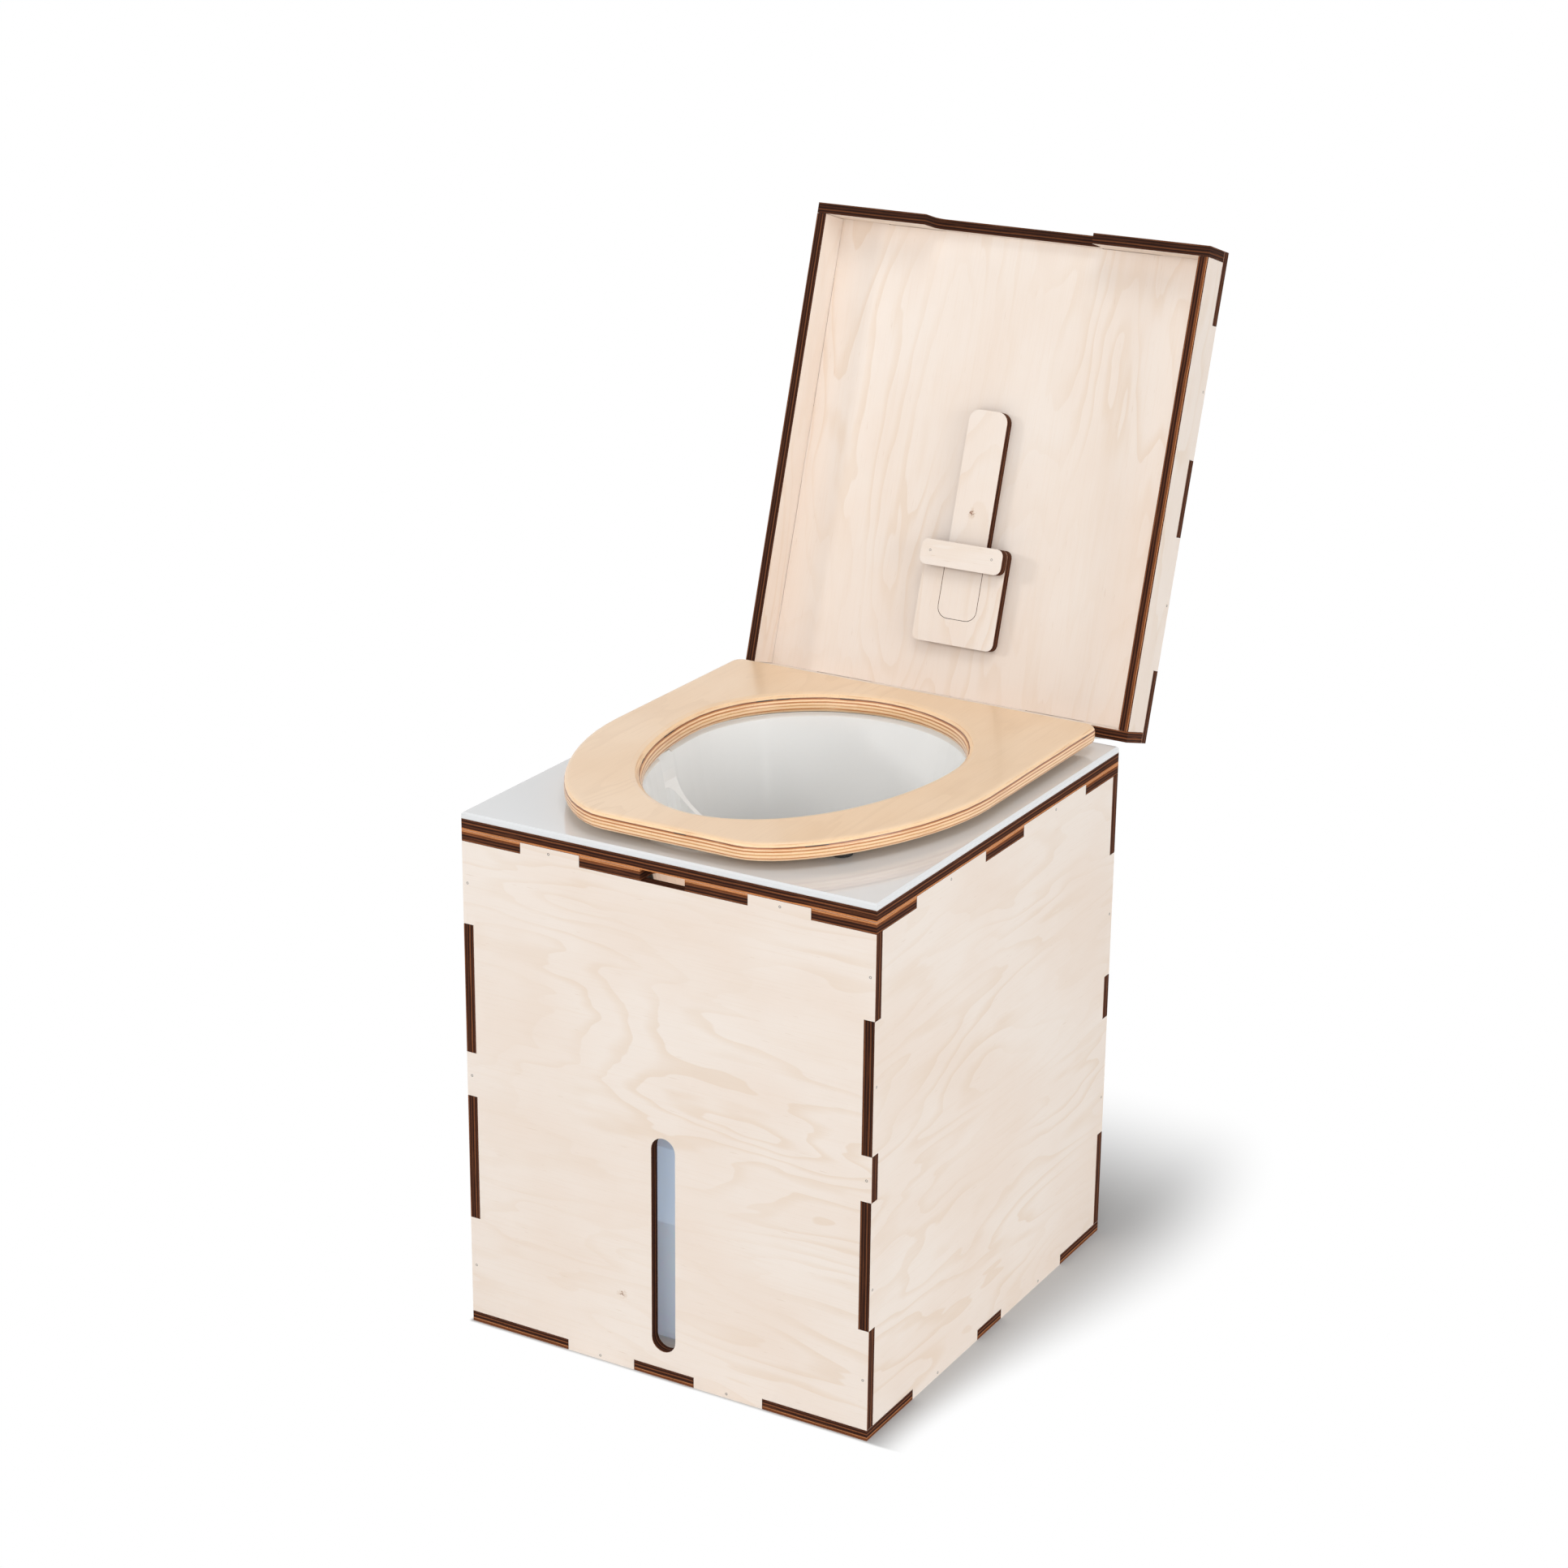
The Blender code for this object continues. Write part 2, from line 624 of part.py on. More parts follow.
def build_canister():
    size = (CONTAINER_WIDTH, CANISTER_DEPTH, CANISTER_Y, CANISTER_CORNER)
    loops = []
    for inset, z in rounded_edge(0.0, CANISTER_EDGE, FLOOR, 1):
        loops.append(block_loop(*size, inset, z))
    for inset, z in reversed(rounded_edge(0.0, CANISTER_EDGE, CANISTER_TOP, -1)):
        loops.append(block_loop(*size, inset, z))
    loops.append(round_loop(SPOUT_Y, NECK_RADIUS + NECK_LIP, CANISTER_TOP))
    neck_top = CANISTER_TOP + NECK_HEIGHT
    loops.append(round_loop(SPOUT_Y, NECK_RADIUS + NECK_LIP, neck_top))
    loops.append(round_loop(SPOUT_Y, NECK_RADIUS, neck_top))
    ceiling = CANISTER_TOP - CANISTER_WALL
    loops.append(round_loop(SPOUT_Y, NECK_RADIUS, ceiling))
    inner_edge = CANISTER_EDGE - CANISTER_WALL
    for inset, z in rounded_edge(CANISTER_WALL, inner_edge, ceiling, -1):
        loops.append(block_loop(*size, inset, z))
    for inset, z in reversed(rounded_edge(CANISTER_WALL, inner_edge, FLOOR + CANISTER_WALL, 1)):
        loops.append(block_loop(*size, inset, z))
    add_object("urine_canister", loft(loops), "canister_plastic", smooth=True)


def build_canister_grip():
    """Carrying grip: a strap that stands on the canister's top beside the neck."""
    low = CANISTER_TOP + GAP
    high = CANISTER_TOP + GRIP_HEIGHT
    right = CONTAINER_WIDTH / 2 - GRIP_SIDE_INSET
    left = right - GRIP_REACH
    radius = GRIP_HEIGHT / 2
    outer = [(right, low)] + arc((right - radius, high - radius), radius, 0, 90, ARC_STEPS)
    outer += arc((left + radius, high - radius), radius, 90, 180, ARC_STEPS) + [(left, low)]
    inner_radius = radius - GRIP_THICKNESS
    inner = [(left + GRIP_THICKNESS, low)]
    inner += arc((left + radius, high - radius), inner_radius, 180, 90, ARC_STEPS)
    inner += arc((right - radius, high - radius), inner_radius, 90, 0, ARC_STEPS)
    inner.append((right - GRIP_THICKNESS, low))
    strap = prism(outer + inner, "front", CANISTER_Y - GRIP_WIDTH / 2, CANISTER_Y + GRIP_WIDTH / 2)
    add_object("canister_strap", strap, "canister_plastic", smooth=True)


def build_bucket():
    size = (CONTAINER_WIDTH, BUCKET_DEPTH, BUCKET_Y, BUCKET_CORNER)
    taper = BUCKET_TAPER
    loops = []
    for inset, z in rounded_edge(taper, BUCKET_FOOT_EDGE, FLOOR, 1):
        loops.append(block_loop(*size, inset, z))
    rim_low = BUCKET_TOP - BUCKET_RIM_HEIGHT
    outer_wall = BUCKET_RIM
    loops.append(block_loop(*size, outer_wall, rim_low + BUCKET_WALL))
    loops.append(block_loop(*size, BUCKET_WALL, rim_low + BUCKET_WALL))
    loops.append(block_loop(*size, BUCKET_WALL, rim_low))
    loops.append(block_loop(*size, 0.0, rim_low))
    for inset, z in reversed(rounded_edge(0.0, BUCKET_WALL, BUCKET_TOP, -1, 2)):
        loops.append(block_loop(*size, inset, z))
    loops.append(block_loop(*size, outer_wall + BUCKET_WALL, BUCKET_TOP))
    inner_floor = FLOOR + BUCKET_WALL
    inner_edge = BUCKET_FOOT_EDGE - BUCKET_WALL
    for inset, z in reversed(rounded_edge(taper + BUCKET_WALL, inner_edge, inner_floor, 1)):
        loops.append(block_loop(*size, inset, z))
    add_object("solids_bucket", loft(loops), "bucket_plastic", smooth=True)


# Seat board

def build_board(carrier):
    cutout = hole_outline(CUTOUT_MARGIN)
    board_box = rectangle(-HALF_WIDTH, HALF_WIDTH, FRONT, BACK)
    board = add_object("seat_board", prism(board_box, "flat", BOARD_BOTTOM, BOARD_TOP), "birch_ply", carrier)
    board_cut = prism(cutout, "flat", BOARD_BOTTOM - OVERRUN, BOARD_TOP + OVERRUN)
    cut(board, add_object("board_cutter", board_cut, carrier=carrier))
    chamfered = []
    for inset, z in ((0.0, COVER_BOTTOM), (0.0, COVER_TOP - COVER_CHAMFER), (COVER_CHAMFER, COVER_TOP)):
        corners = rectangle(-HALF_WIDTH + inset, HALF_WIDTH - inset, FRONT + inset, BACK - inset)
        chamfered.append(at_height(corners, z))
    cover = add_object("cover_plate", loft(chamfered), "white_gloss", carrier)
    cover_cut = prism(cutout, "flat", COVER_BOTTOM - OVERRUN, COVER_TOP + OVERRUN)
    cut(cover, add_object("cover_cutter", cover_cut, carrier=carrier))


def build_seat(carrier):
    """Seat ring: the outline's and the hole's edges are rounded with quarter arcs."""
    outline = seat_outline()
    hole = hole_points_facing(outline)
    loops = []
    for inset, z in rounded_edge(0.0, SEAT_EDGE_RADIUS, SEAT_BOTTOM, 1):
        loops.append(at_height(offset_outline(outline, -inset), z))
    for inset, z in reversed(rounded_edge(0.0, SEAT_EDGE_RADIUS, SEAT_TOP, -1)):
        loops.append(at_height(offset_outline(outline, -inset), z))
    for inset, z in rounded_edge(0.0, SEAT_HOLE_RADIUS, SEAT_TOP, -1):
        loops.append(at_height(offset_outline(hole, inset), z))
    for inset, z in reversed(rounded_edge(0.0, SEAT_EDGE_RADIUS / 2, SEAT_BOTTOM, 1, 2)):
        loops.append(at_height(offset_outline(hole, inset), z))
    return add_object("seat_ring", loft(loops, close_ends=False), "seat_birch", carrier, smooth=True)


def buffer_places():
    """The front buffers keep their room to the insert's flange, the back ones to the seat's back edge."""
    front_x = SEAT_HALF_WIDTH - BUFFER_FRONT_SIDE_INSET
    reach = FLANGE_REACH + BUFFER_RADIUS + BUFFER_FLANGE_ROOM
    share = front_x / (HOLE_HALF_WIDTH + reach)
    front = HOLE_Y - (HOLE_FRONT + reach) * math.sqrt(1 - share ** 2)
    back, back_x = SEAT_BACK - BUFFER_BACK_INSET, SEAT_HALF_WIDTH - BUFFER_BACK_SIDE_INSET
    return {
        "front_left": (-front_x, front), "front_right": (front_x, front),
        "back_left": (-back_x, back), "back_right": (back_x, back),
    }


def build_buffers(carrier):
    """Rubber buffers between the cover plate and the seat."""
    for label, (x, y) in buffer_places().items():
        rubber = cylinder((x, y, 0.0), BUFFER_RADIUS, COVER_TOP + GAP, SEAT_BOTTOM - GAP, "z")
        add_object("seat_buffer_" + label, rubber, "rubber", carrier, smooth=True)


# Separating insert

def wall_loop(side, offset, divider, fillet, z):
    """Half of the tub at one height: the egg's wall on one side of a straight divider, corners rounded.

    side is 1 for the back half and -1 for the front half.
    """
    half_width = HOLE_HALF_WIDTH + offset

    def ratio_at(y):
        return (y - HOLE_Y) / ((HOLE_BACK if y > HOLE_Y else HOLE_FRONT) + offset)

    def wall_x(y):
        return half_width * math.sqrt(1 - ratio_at(y) ** 2)

    start = divider + side * fillet
    points = bezier(
        (wall_x(divider) - fillet, divider), (wall_x(divider) - fillet / 3, divider),
        (wall_x(start), divider + side * fillet / 3), (wall_x(start), start), SMALL_STEPS)
    first = math.asin(ratio_at(start))
    last = side * math.pi - first
    for index in range(1, WALL_STEPS):
        angle = first + (last - first) * index / WALL_STEPS
        depth = HOLE_BACK + offset if math.sin(angle) > 0 else HOLE_FRONT + offset
        points.append((half_width * math.cos(angle), HOLE_Y + depth * math.sin(angle)))
    mirrored = [(-x, y) for x, y in reversed(points[:SMALL_STEPS + 1])]
    points += mirrored
    points.append((0.0, divider))
    return at_height(points, z)


def shrink_loop(loop, center, radius, share, z):
    """Draw a loop towards a circle round the center."""
    drawn = []
    for point in loop:
        angle = math.atan2(point.y - center[1], point.x - center[0])
        x = center[0] + radius * math.cos(angle)
        y = center[1] + radius * math.sin(angle)
        drawn.append(Vector((point.x + (x - point.x) * share, point.y + (y - point.y) * share, z)))
    return drawn


def taper_at(z, depth, taper):
    """How far a wall has drawn in at height z."""
    return -taper * (RIM_TOP - z) / depth


def build_insert(carrier):
    tub_low = RIM_TOP - TUB_DEPTH
    flange_top = FLANGE_BOTTOM + FLANGE_THICKNESS
    outer = [
        (taper_at(tub_low, TUB_DEPTH, TUB_TAPER) + INSERT_WALL, tub_low),
        (INSERT_WALL + SKIN_STEP, FLANGE_BOTTOM),
        (FLANGE_REACH, FLANGE_BOTTOM),
        (FLANGE_REACH, flange_top - FLANGE_THICKNESS / 2),
        (FLANGE_REACH - FLANGE_THICKNESS / 2, flange_top),
        (RIM_MARGIN + RIM_WIDTH + RIM_ROUND, flange_top),
        (RIM_MARGIN + RIM_WIDTH, RIM_TOP - RIM_ROUND / 2),
        (RIM_MARGIN + RIM_WIDTH - RIM_ROUND / 2, RIM_TOP),
    ]
    insert = add_object(
        "separator_insert", loft([at_height(hole_outline(offset), z) for offset, z in outer]),
        "white_gloss", carrier, smooth=True)
    back_divider = HOLE_Y - DIVIDER_SETBACK
    front_divider = back_divider - DIVIDER_THICKNESS
    skin = INSERT_WALL - SKIN_STEP
    overlap = tub_low + INSERT_WALL * 2
    chute_low = RIM_TOP - CHUTE_DEPTH
    merge(insert, add_object("chute_skin", loft([
        wall_loop(1, taper_at(z, CHUTE_DEPTH, CHUTE_TAPER) + skin, back_divider - skin, DIVIDER_FILLET, z)
        for z in (overlap, (overlap + chute_low) / 2, chute_low)]), carrier=carrier))
    merge(insert, add_object("bowl_skin", bowl_loft(front_divider + skin, skin, overlap), carrier=carrier))
    spout_low = CANISTER_TOP + NECK_HEIGHT - SPOUT_DIP
    floor = RIM_TOP - BOWL_DEPTH
    spout = cylinder((0.0, SPOUT_Y, 0.0), SPOUT_RADIUS, spout_low, floor, "z")
    merge(insert, add_object("spout_skin", spout, carrier=carrier))
    mouth = [
        wall_loop(1, RIM_MARGIN, back_divider, DIVIDER_FILLET, RIM_TOP + OVERRUN),
        wall_loop(1, RIM_MARGIN, back_divider, DIVIDER_FILLET, RIM_TOP - RIM_ROUND / 4)]
    walls = [
        wall_loop(1, taper_at(z, CHUTE_DEPTH, CHUTE_TAPER), back_divider, DIVIDER_FILLET, z)
        for z in (RIM_TOP - RIM_ROUND, tub_low, chute_low - OVERRUN)]
    cut(insert, add_object("chute_hollow", loft(mouth + walls), carrier=carrier))
    cut(insert, add_object("bowl_hollow", bowl_loft(front_divider, 0.0, RIM_TOP + OVERRUN), carrier=carrier))
    bore = cylinder(
        (0.0, SPOUT_Y, 0.0), SPOUT_RADIUS - SPOUT_WALL, spout_low - OVERRUN, floor + OVERRUN * 2, "z")
    cut(insert, add_object("spout_bore", bore, carrier=carrier))
    cut(insert, add_object("saddle_cutter", saddle(front_divider, back_divider), carrier=carrier))
    return insert


def bowl_loft(divider, skin, top):
    """Front bowl: walls down to a shelf, then a dish that falls to the spout."""
    shelf = RIM_TOP - BOWL_SHELF_DEPTH
    floor = RIM_TOP - BOWL_DEPTH - skin
    loops = []
    if top > RIM_TOP:
        loops.append(wall_loop(-1, RIM_MARGIN, divider, DIVIDER_FILLET, top))
        loops.append(wall_loop(-1, RIM_MARGIN, divider, DIVIDER_FILLET, RIM_TOP - RIM_ROUND / 4))
        top = RIM_TOP - RIM_ROUND
    for z in (top, shelf):
        loops.append(wall_loop(-1, taper_at(z, BOWL_DEPTH, BOWL_TAPER) + skin, divider, DIVIDER_FILLET, z))
    rim = loops[-1]
    center = (0.0, SPOUT_Y)
    radius = SPOUT_RADIUS + SKIN_STEP * 2 if skin else SPOUT_RADIUS - SPOUT_WALL + SKIN_STEP
    for share, fall_share in DISH_SHARES:
        loops.append(shrink_loop(rim, center, radius, share, shelf + (floor - shelf) * fall_share))
    return loft(loops)


def saddle(front_divider, back_divider):
    """Half an elliptic cylinder across the divider: it leaves it low in the middle, high at the walls."""
    middle = (front_divider + back_divider) / 2
    ratio = (middle - HOLE_Y) / HOLE_FRONT
    half_width = HOLE_HALF_WIDTH * math.sqrt(1 - ratio * ratio)
    points = [(half_width, RIM_TOP + OVERRUN)]
    for index in range(WALL_STEPS + 1):
        angle = math.pi * index / WALL_STEPS
        points.append((half_width * math.cos(angle), RIM_TOP - SADDLE_DEPTH * math.sin(angle)))
    points.append((-half_width, RIM_TOP + OVERRUN))
    reach = DIVIDER_FILLET
    return prism(points, "front", front_divider - reach, back_divider + reach)


# Lid

def build_lid(carrier):
    flat_panel("lid_panel", LID_INNER, TOP_FRONT_SHARES, TOP_SIDE_SHARES, carrier)
    high = LID_INNER - GAP
    walls = {}
    for label, low in (("front", FRONT), ("back", BACK - PLY)):
        boxes = [(-HALF_WIDTH, HALF_WIDTH, LID_RIM, high)]
        for left, right in finger_spans(TOP_FRONT_SHARES, WIDTH, -HALF_WIDTH, 1):
            boxes.append((left, right, high, LID_TOP))
        name = "lid_" + label + "_wall"
        walls[label] = add_object(name, sheet(boxes, "front", low, low + PLY), "birch_ply", carrier)
    for label, low in (("left", -HALF_WIDTH), ("right", HALF_WIDTH - PLY)):
        boxes = [(FRONT + REACH, BACK - REACH, LID_RIM, high)]
        for near, far in finger_spans(TOP_SIDE_SHARES, DEPTH, FRONT, 1):
            boxes.append((near, far, high, LID_TOP))
        add_object("lid_" + label + "_wall", sheet(boxes, "side", low, low + PLY), "birch_ply", carrier)
    recess = rounded_rectangle(
        -RECESS_WIDTH / 2, RECESS_WIDTH / 2, LID_RIM - RECESS_RADIUS - OVERRUN, LID_RIM + RECESS_DEPTH,
        RECESS_RADIUS)
    recess_tool = prism(recess, "front", FRONT - OVERRUN, FRONT + PLY + OVERRUN)
    cut(walls["front"], add_object("recess_cutter", recess_tool, carrier=carrier))


def build_holder(carrier, slide):
    """Base plate, bridge and sliding tongue on the lid's inner face, laid out from the lid's back edge."""
    start = BACK - HOLDER_START
    end = start - HOLDER_LENGTH
    half = HOLDER_WIDTH / 2
    plate_high = LID_INNER - GAP
    plate_low = plate_high - PLY
    plate = rounded_rectangle(-half, half, end, start, HOLDER_RADIUS, SMALL_STEPS)
    base = add_object("holder_plate", prism(plate, "flat", plate_low, plate_high), "birch_ply", carrier)
    slot_end = start - SLOT_END
    slot = rounded_rectangle(
        -SLOT_WIDTH / 2, SLOT_WIDTH / 2, end - SLOT_RADIUS - OVERRUN, slot_end, SLOT_RADIUS)
    cut(base, add_object(
        "slot_cutter", prism(slot, "flat", plate_low - OVERRUN, plate_high + OVERRUN), carrier=carrier))
    bridge = rounded_rectangle(-half, half, end, end + BRIDGE_LENGTH, HOLDER_RADIUS, SMALL_STEPS)
    bridge_high = plate_low - GAP
    add_object(
        "holder_bridge", prism(bridge, "flat", bridge_high - PLY, bridge_high), "birch_ply", carrier)
    tongue_half = SLOT_WIDTH / 2 - TONGUE_PLAY
    tongue_end = slot_end - TONGUE_PLAY
    tongue = rounded_rectangle(
        -tongue_half, tongue_half, tongue_end - TONGUE_LENGTH, tongue_end, SLOT_RADIUS - TONGUE_PLAY)
    add_object("holder_tongue", prism(tongue, "flat", plate_low, plate_high), "birch_ply", slide)


# Hinges

def hinge_point(y, z):
    """A point given from the hinge line."""
    return HINGE_Y + y, HINGE_Z + z


def leaf_plate(name, x, length, low, high, carrier=None):
    corners = [hinge_point(y, z) for y, z in rectangle(LEAF_INNER, LEAF_OUTER, low, high)]
    solid = prism(corners, "side", x - length / 2, x + length / 2)
    return add_object(name, solid, "zinc_steel", carrier, smooth=True)


def knuckle(name, x, length, web, carrier=None):
    """Barrel with the web that joins it to its leaf; the web is a list of points from the hinge line."""
    barrel = add_object(name, cylinder(
        HINGE_LINE, KNUCKLE_RADIUS, x - length / 2, x + length / 2, "x"), carrier=carrier)
    inset = GAP
    strip = prism(
        [hinge_point(y, z) for y, z in web], "side", x - length / 2 + inset, x + length / 2 - inset)
    merge(barrel, add_object(name + "_web", strip, carrier=carrier))
    return barrel


def bore_through(leaf, x, carrier=None):
    reach = HINGE_LENGTH / 2 + OVERRUN
    bore = cylinder(HINGE_LINE, BORE_RADIUS, x - reach, x + reach, "x")
    cut(leaf, add_object(leaf.name + "_bore", bore, carrier=carrier))


def case_web():
    """Crank from the case leaf's top up to the middle barrel."""
    low = CASE_LEAF_TOP
    return [
        (LEAF_INNER + GAP, low - LEAF_THICKNESS), (LEAF_OUTER, low - LEAF_THICKNESS * 2),
        (LEAF_OUTER + LEAF_THICKNESS * 2, low + LEAF_THICKNESS), (KNUCKLE_RADIUS / 2, 0.0),
        (-KNUCKLE_RADIUS / 2, 0.0), (-WEB_INSET, -WEB_INSET), (-WEB_INSET, low + WEB_INSET),
        (LEAF_INNER + GAP, low - GAP),
    ]


def lid_web():
    """Crank from the lid leaf's foot down to an outer barrel."""
    low = LID_LEAF_LOW
    return [
        (LEAF_INNER + GAP, low + LEAF_THICKNESS), (LEAF_INNER + GAP, low + GAP),
        (LEAF_OUTER + GAP, low + GAP), (-KNUCKLE_RADIUS / 2, 0.0), (0.0, 0.0), (0.0, WEB_INSET),
        (LEAF_OUTER, low + LEAF_THICKNESS * 2),
    ]


def board_web():
    """Straight web from a leaf on the seat board to its barrel."""
    half = LEAF_THICKNESS
    return [(LEAF_INNER + GAP, -half), (0.0, -half), (0.0, half), (LEAF_INNER + GAP, half)]


def stop_tail(x, turn, leaf_top):
    """Tail below a turning barrel that comes to rest on the fixed leaf once the hinge is fully open.

    It is laid out as it stands then and turned back by the whole swing.
    """
    face = LEAF_OUTER + GAP
    foot = min(leaf_top, -KNUCKLE_RADIUS) - STOP_LAP
    opened = [
        (face, foot), (face + STOP_WIDTH, foot), (KNUCKLE_RADIUS / 2, -KNUCKLE_RADIUS / 2),
        (0.0, 0.0), (-KNUCKLE_RADIUS / 2, 0.0), (face, -KNUCKLE_RADIUS / 2)]
    cosine, sine = math.cos(turn), math.sin(turn)
    shut = [hinge_point(y * cosine - z * sine, y * sine + z * cosine) for y, z in opened]
    half = KNUCKLE_LENGTH / 2 - LEAF_THICKNESS
    return prism(shut, "side", x - half, x + half)


def hinge_pin(name, x, carrier):
    half = HINGE_LENGTH / 2 + GAP
    head_end = PIN_HEAD_LENGTH
    tail = head_end + 2 * half
    profile = (
        (PIN_HEAD_RADIUS / 2, 0.0), (PIN_HEAD_RADIUS, head_end / 2), (PIN_HEAD_RADIUS, head_end),
        (PIN_RADIUS, head_end), (PIN_RADIUS, tail), (PIN_HEAD_RADIUS, tail),
        (PIN_HEAD_RADIUS, tail + head_end / 2), (PIN_HEAD_RADIUS / 2, tail + head_end))
    start = HINGE_LINE + Vector((x - half - PIN_HEAD_LENGTH, 0.0, 0.0))
    add_object(name, turned(start, profile, (1, 0, 0), ROUND_STEPS), "zinc_steel", carrier, smooth=True)


def fixed_leaf(name, x, length, span, web, carrier=None):
    """The leaf that stays, with the middle barrel."""
    leaf = leaf_plate(name, x, length, *span, carrier)
    middle = HINGE_LENGTH - 2 * KNUCKLE_LENGTH - 2 * GAP
    merge(leaf, knuckle(name + "_barrel", x, middle, web, carrier))
    bore_through(leaf, x, carrier)


def turning_leaf(name, x, length, span, web, carrier, turn, stop_height):
    """The leaf that turns, with the outer two barrels and their stop tails."""
    leaf = leaf_plate(name, x, length, *span, carrier)
    for end in ("left", "right"):
        place = x + (HINGE_LENGTH - KNUCKLE_LENGTH) / 2 * (1 if end == "right" else -1)
        merge(leaf, knuckle(name + "_barrel_" + end, place, KNUCKLE_LENGTH, web, carrier))
        merge(leaf, add_object(name + "_tail_" + end, stop_tail(place, turn, stop_height), carrier=carrier))
    bore_through(leaf, x, carrier)


def build_hinges(board_line, lid_line):
    case_span = (CASE_LEAF_TOP - CASE_LEAF_HEIGHT, CASE_LEAF_TOP)
    board_span = (BOARD_LEAF_LOW, BOARD_LEAF_HIGH)
    lid_span = (LID_LEAF_LOW, LID_LEAF_LOW + LID_LEAF_HEIGHT)
    for side, sign in (("left", -1), ("right", 1)):
        name = "board_hinge_" + side
        x = sign * BOARD_HINGE_X
        fixed_leaf(name + "_case_leaf", x, HINGE_LENGTH, case_span, case_web())
        turning_leaf(
            name + "_board_leaf", x, BOARD_LEAF_LENGTH, board_span, board_web(), board_line,
            BOARD_OPEN, CASE_LEAF_TOP)
        hinge_pin(name + "_pin", x, None)
        name = "lid_hinge_" + side
        x = sign * LID_HINGE_X
        fixed_leaf(name + "_board_leaf", x, HINGE_LENGTH, board_span, board_web(), board_line)
        turning_leaf(
            name + "_lid_leaf", x, HINGE_LENGTH, lid_span, lid_web(), lid_line, LID_OPEN, BOARD_LEAF_HIGH)
        hinge_pin(name + "_pin", x, board_line)


def main():
    clear_scene()
    build_case()
    build_canister()
    build_canister_grip()
    build_bucket()
    board_line = empty_at("board_line", HINGE_LINE)
    build_board(board_line)
    build_insert(board_line)
    build_seat(board_line)
    build_buffers(board_line)
    lid_line = empty_at("lid_line", HINGE_LINE, board_line)
    slide = empty_at("tongue_line", Vector((0.0, BACK - HOLDER_START - SLOT_END, LID_INNER)), lid_line)
    build_lid(lid_line)
    build_holder(lid_line, slide)
    build_hinges(board_line, lid_line)
    lid_line.rotation_euler.x = -LID_OPEN


main()
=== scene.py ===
import json
import math

import bmesh
import bpy
from mathutils import Matrix, Vector


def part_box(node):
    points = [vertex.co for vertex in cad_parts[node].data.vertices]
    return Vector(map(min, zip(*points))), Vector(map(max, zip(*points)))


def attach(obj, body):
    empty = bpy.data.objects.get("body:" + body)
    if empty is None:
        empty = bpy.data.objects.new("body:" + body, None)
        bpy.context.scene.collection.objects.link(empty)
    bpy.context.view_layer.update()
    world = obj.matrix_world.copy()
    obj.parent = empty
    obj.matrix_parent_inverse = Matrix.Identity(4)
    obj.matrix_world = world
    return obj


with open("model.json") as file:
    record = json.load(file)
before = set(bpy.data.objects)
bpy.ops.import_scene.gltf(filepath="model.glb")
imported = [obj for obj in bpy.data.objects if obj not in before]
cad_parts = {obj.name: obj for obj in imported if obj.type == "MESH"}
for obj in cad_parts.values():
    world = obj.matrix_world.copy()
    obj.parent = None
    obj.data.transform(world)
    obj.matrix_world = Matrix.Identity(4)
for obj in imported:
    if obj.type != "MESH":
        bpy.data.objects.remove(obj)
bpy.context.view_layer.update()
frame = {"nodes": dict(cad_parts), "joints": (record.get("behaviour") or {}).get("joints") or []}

# Lengths are in metres and angles in degrees; only the turns of nails and screws are in radians

# Camera solved from the photograph, with its lens and sensor in millimetres
CAMERA_PLACE = Vector((1.27623, -2.21891, 1.35900))
CAMERA_YAW = 30.19
CAMERA_PITCH = 19.74
CAMERA_ROLL = 0.555
CAMERA_LENS = 77.77
CAMERA_SENSOR = 36.0
CAMERA_REACH = 100.0

# Sizes shared with the frame
PLY = 0.009
GAP = 0.0003
SEAT_PLY = 0.015
HALF_WIDTH = 0.185
HALF_DEPTH = 0.20675
LID_TOP = 0.4869
LID_RIM = 0.4459
HOLDER_LOW = LID_TOP - 2 * PLY - GAP
BRIDGE_LOW = LID_TOP - 3 * PLY - 2 * GAP

# The lid's turn from shut to the pose at rest, about the hinge's line
LID_OPEN = 107.3
LID_TURN = Matrix.Rotation(-math.radians(LID_OPEN), 4, "X")
JOINTS = {joint["name"]: joint for joint in frame["joints"]}
HINGE_LINE = Vector(JOINTS["lid_hinge"]["pos_m"])

# Hinge leaves, from the hinge's line; a spread is half of the way between two screws
LEAF_OUTER = -0.0048
CASE_LEAF_MIDDLE = -0.0325
LID_LEAF_MIDDLE = 0.0200
BOARD_LEAF_MIDDLE = -0.0043
BOARD_LEAF_FOOT = -0.0058
LEAF_SCREW_SPREAD = 0.018
BOARD_SCREW_SPREAD = 0.035
FOOT_SCREW_SPREAD = 0.0065
LID_HINGE_X = 0.125
BOARD_HINGE_X = 0.044
SCREW_RADIUS = 0.0030
SCREW_RISE = 0.0013
SCREW_STEPS = 32
FOOT_SCREW_RADIUS = 0.0016
FOOT_SCREW_RISE = 0.0005
SEAT_SCREW_RADIUS = 0.0042
SEAT_SCREW_RISE = 0.0022

# Cross recess of a screw: its depth, how fast it ends beside an arm, and how fast the arms part
CROSS_DEPTH = 0.0008
CROSS_SLIMNESS = 2.2
CROSS_PARTING = 1.3
CROSS_RINGS = 3

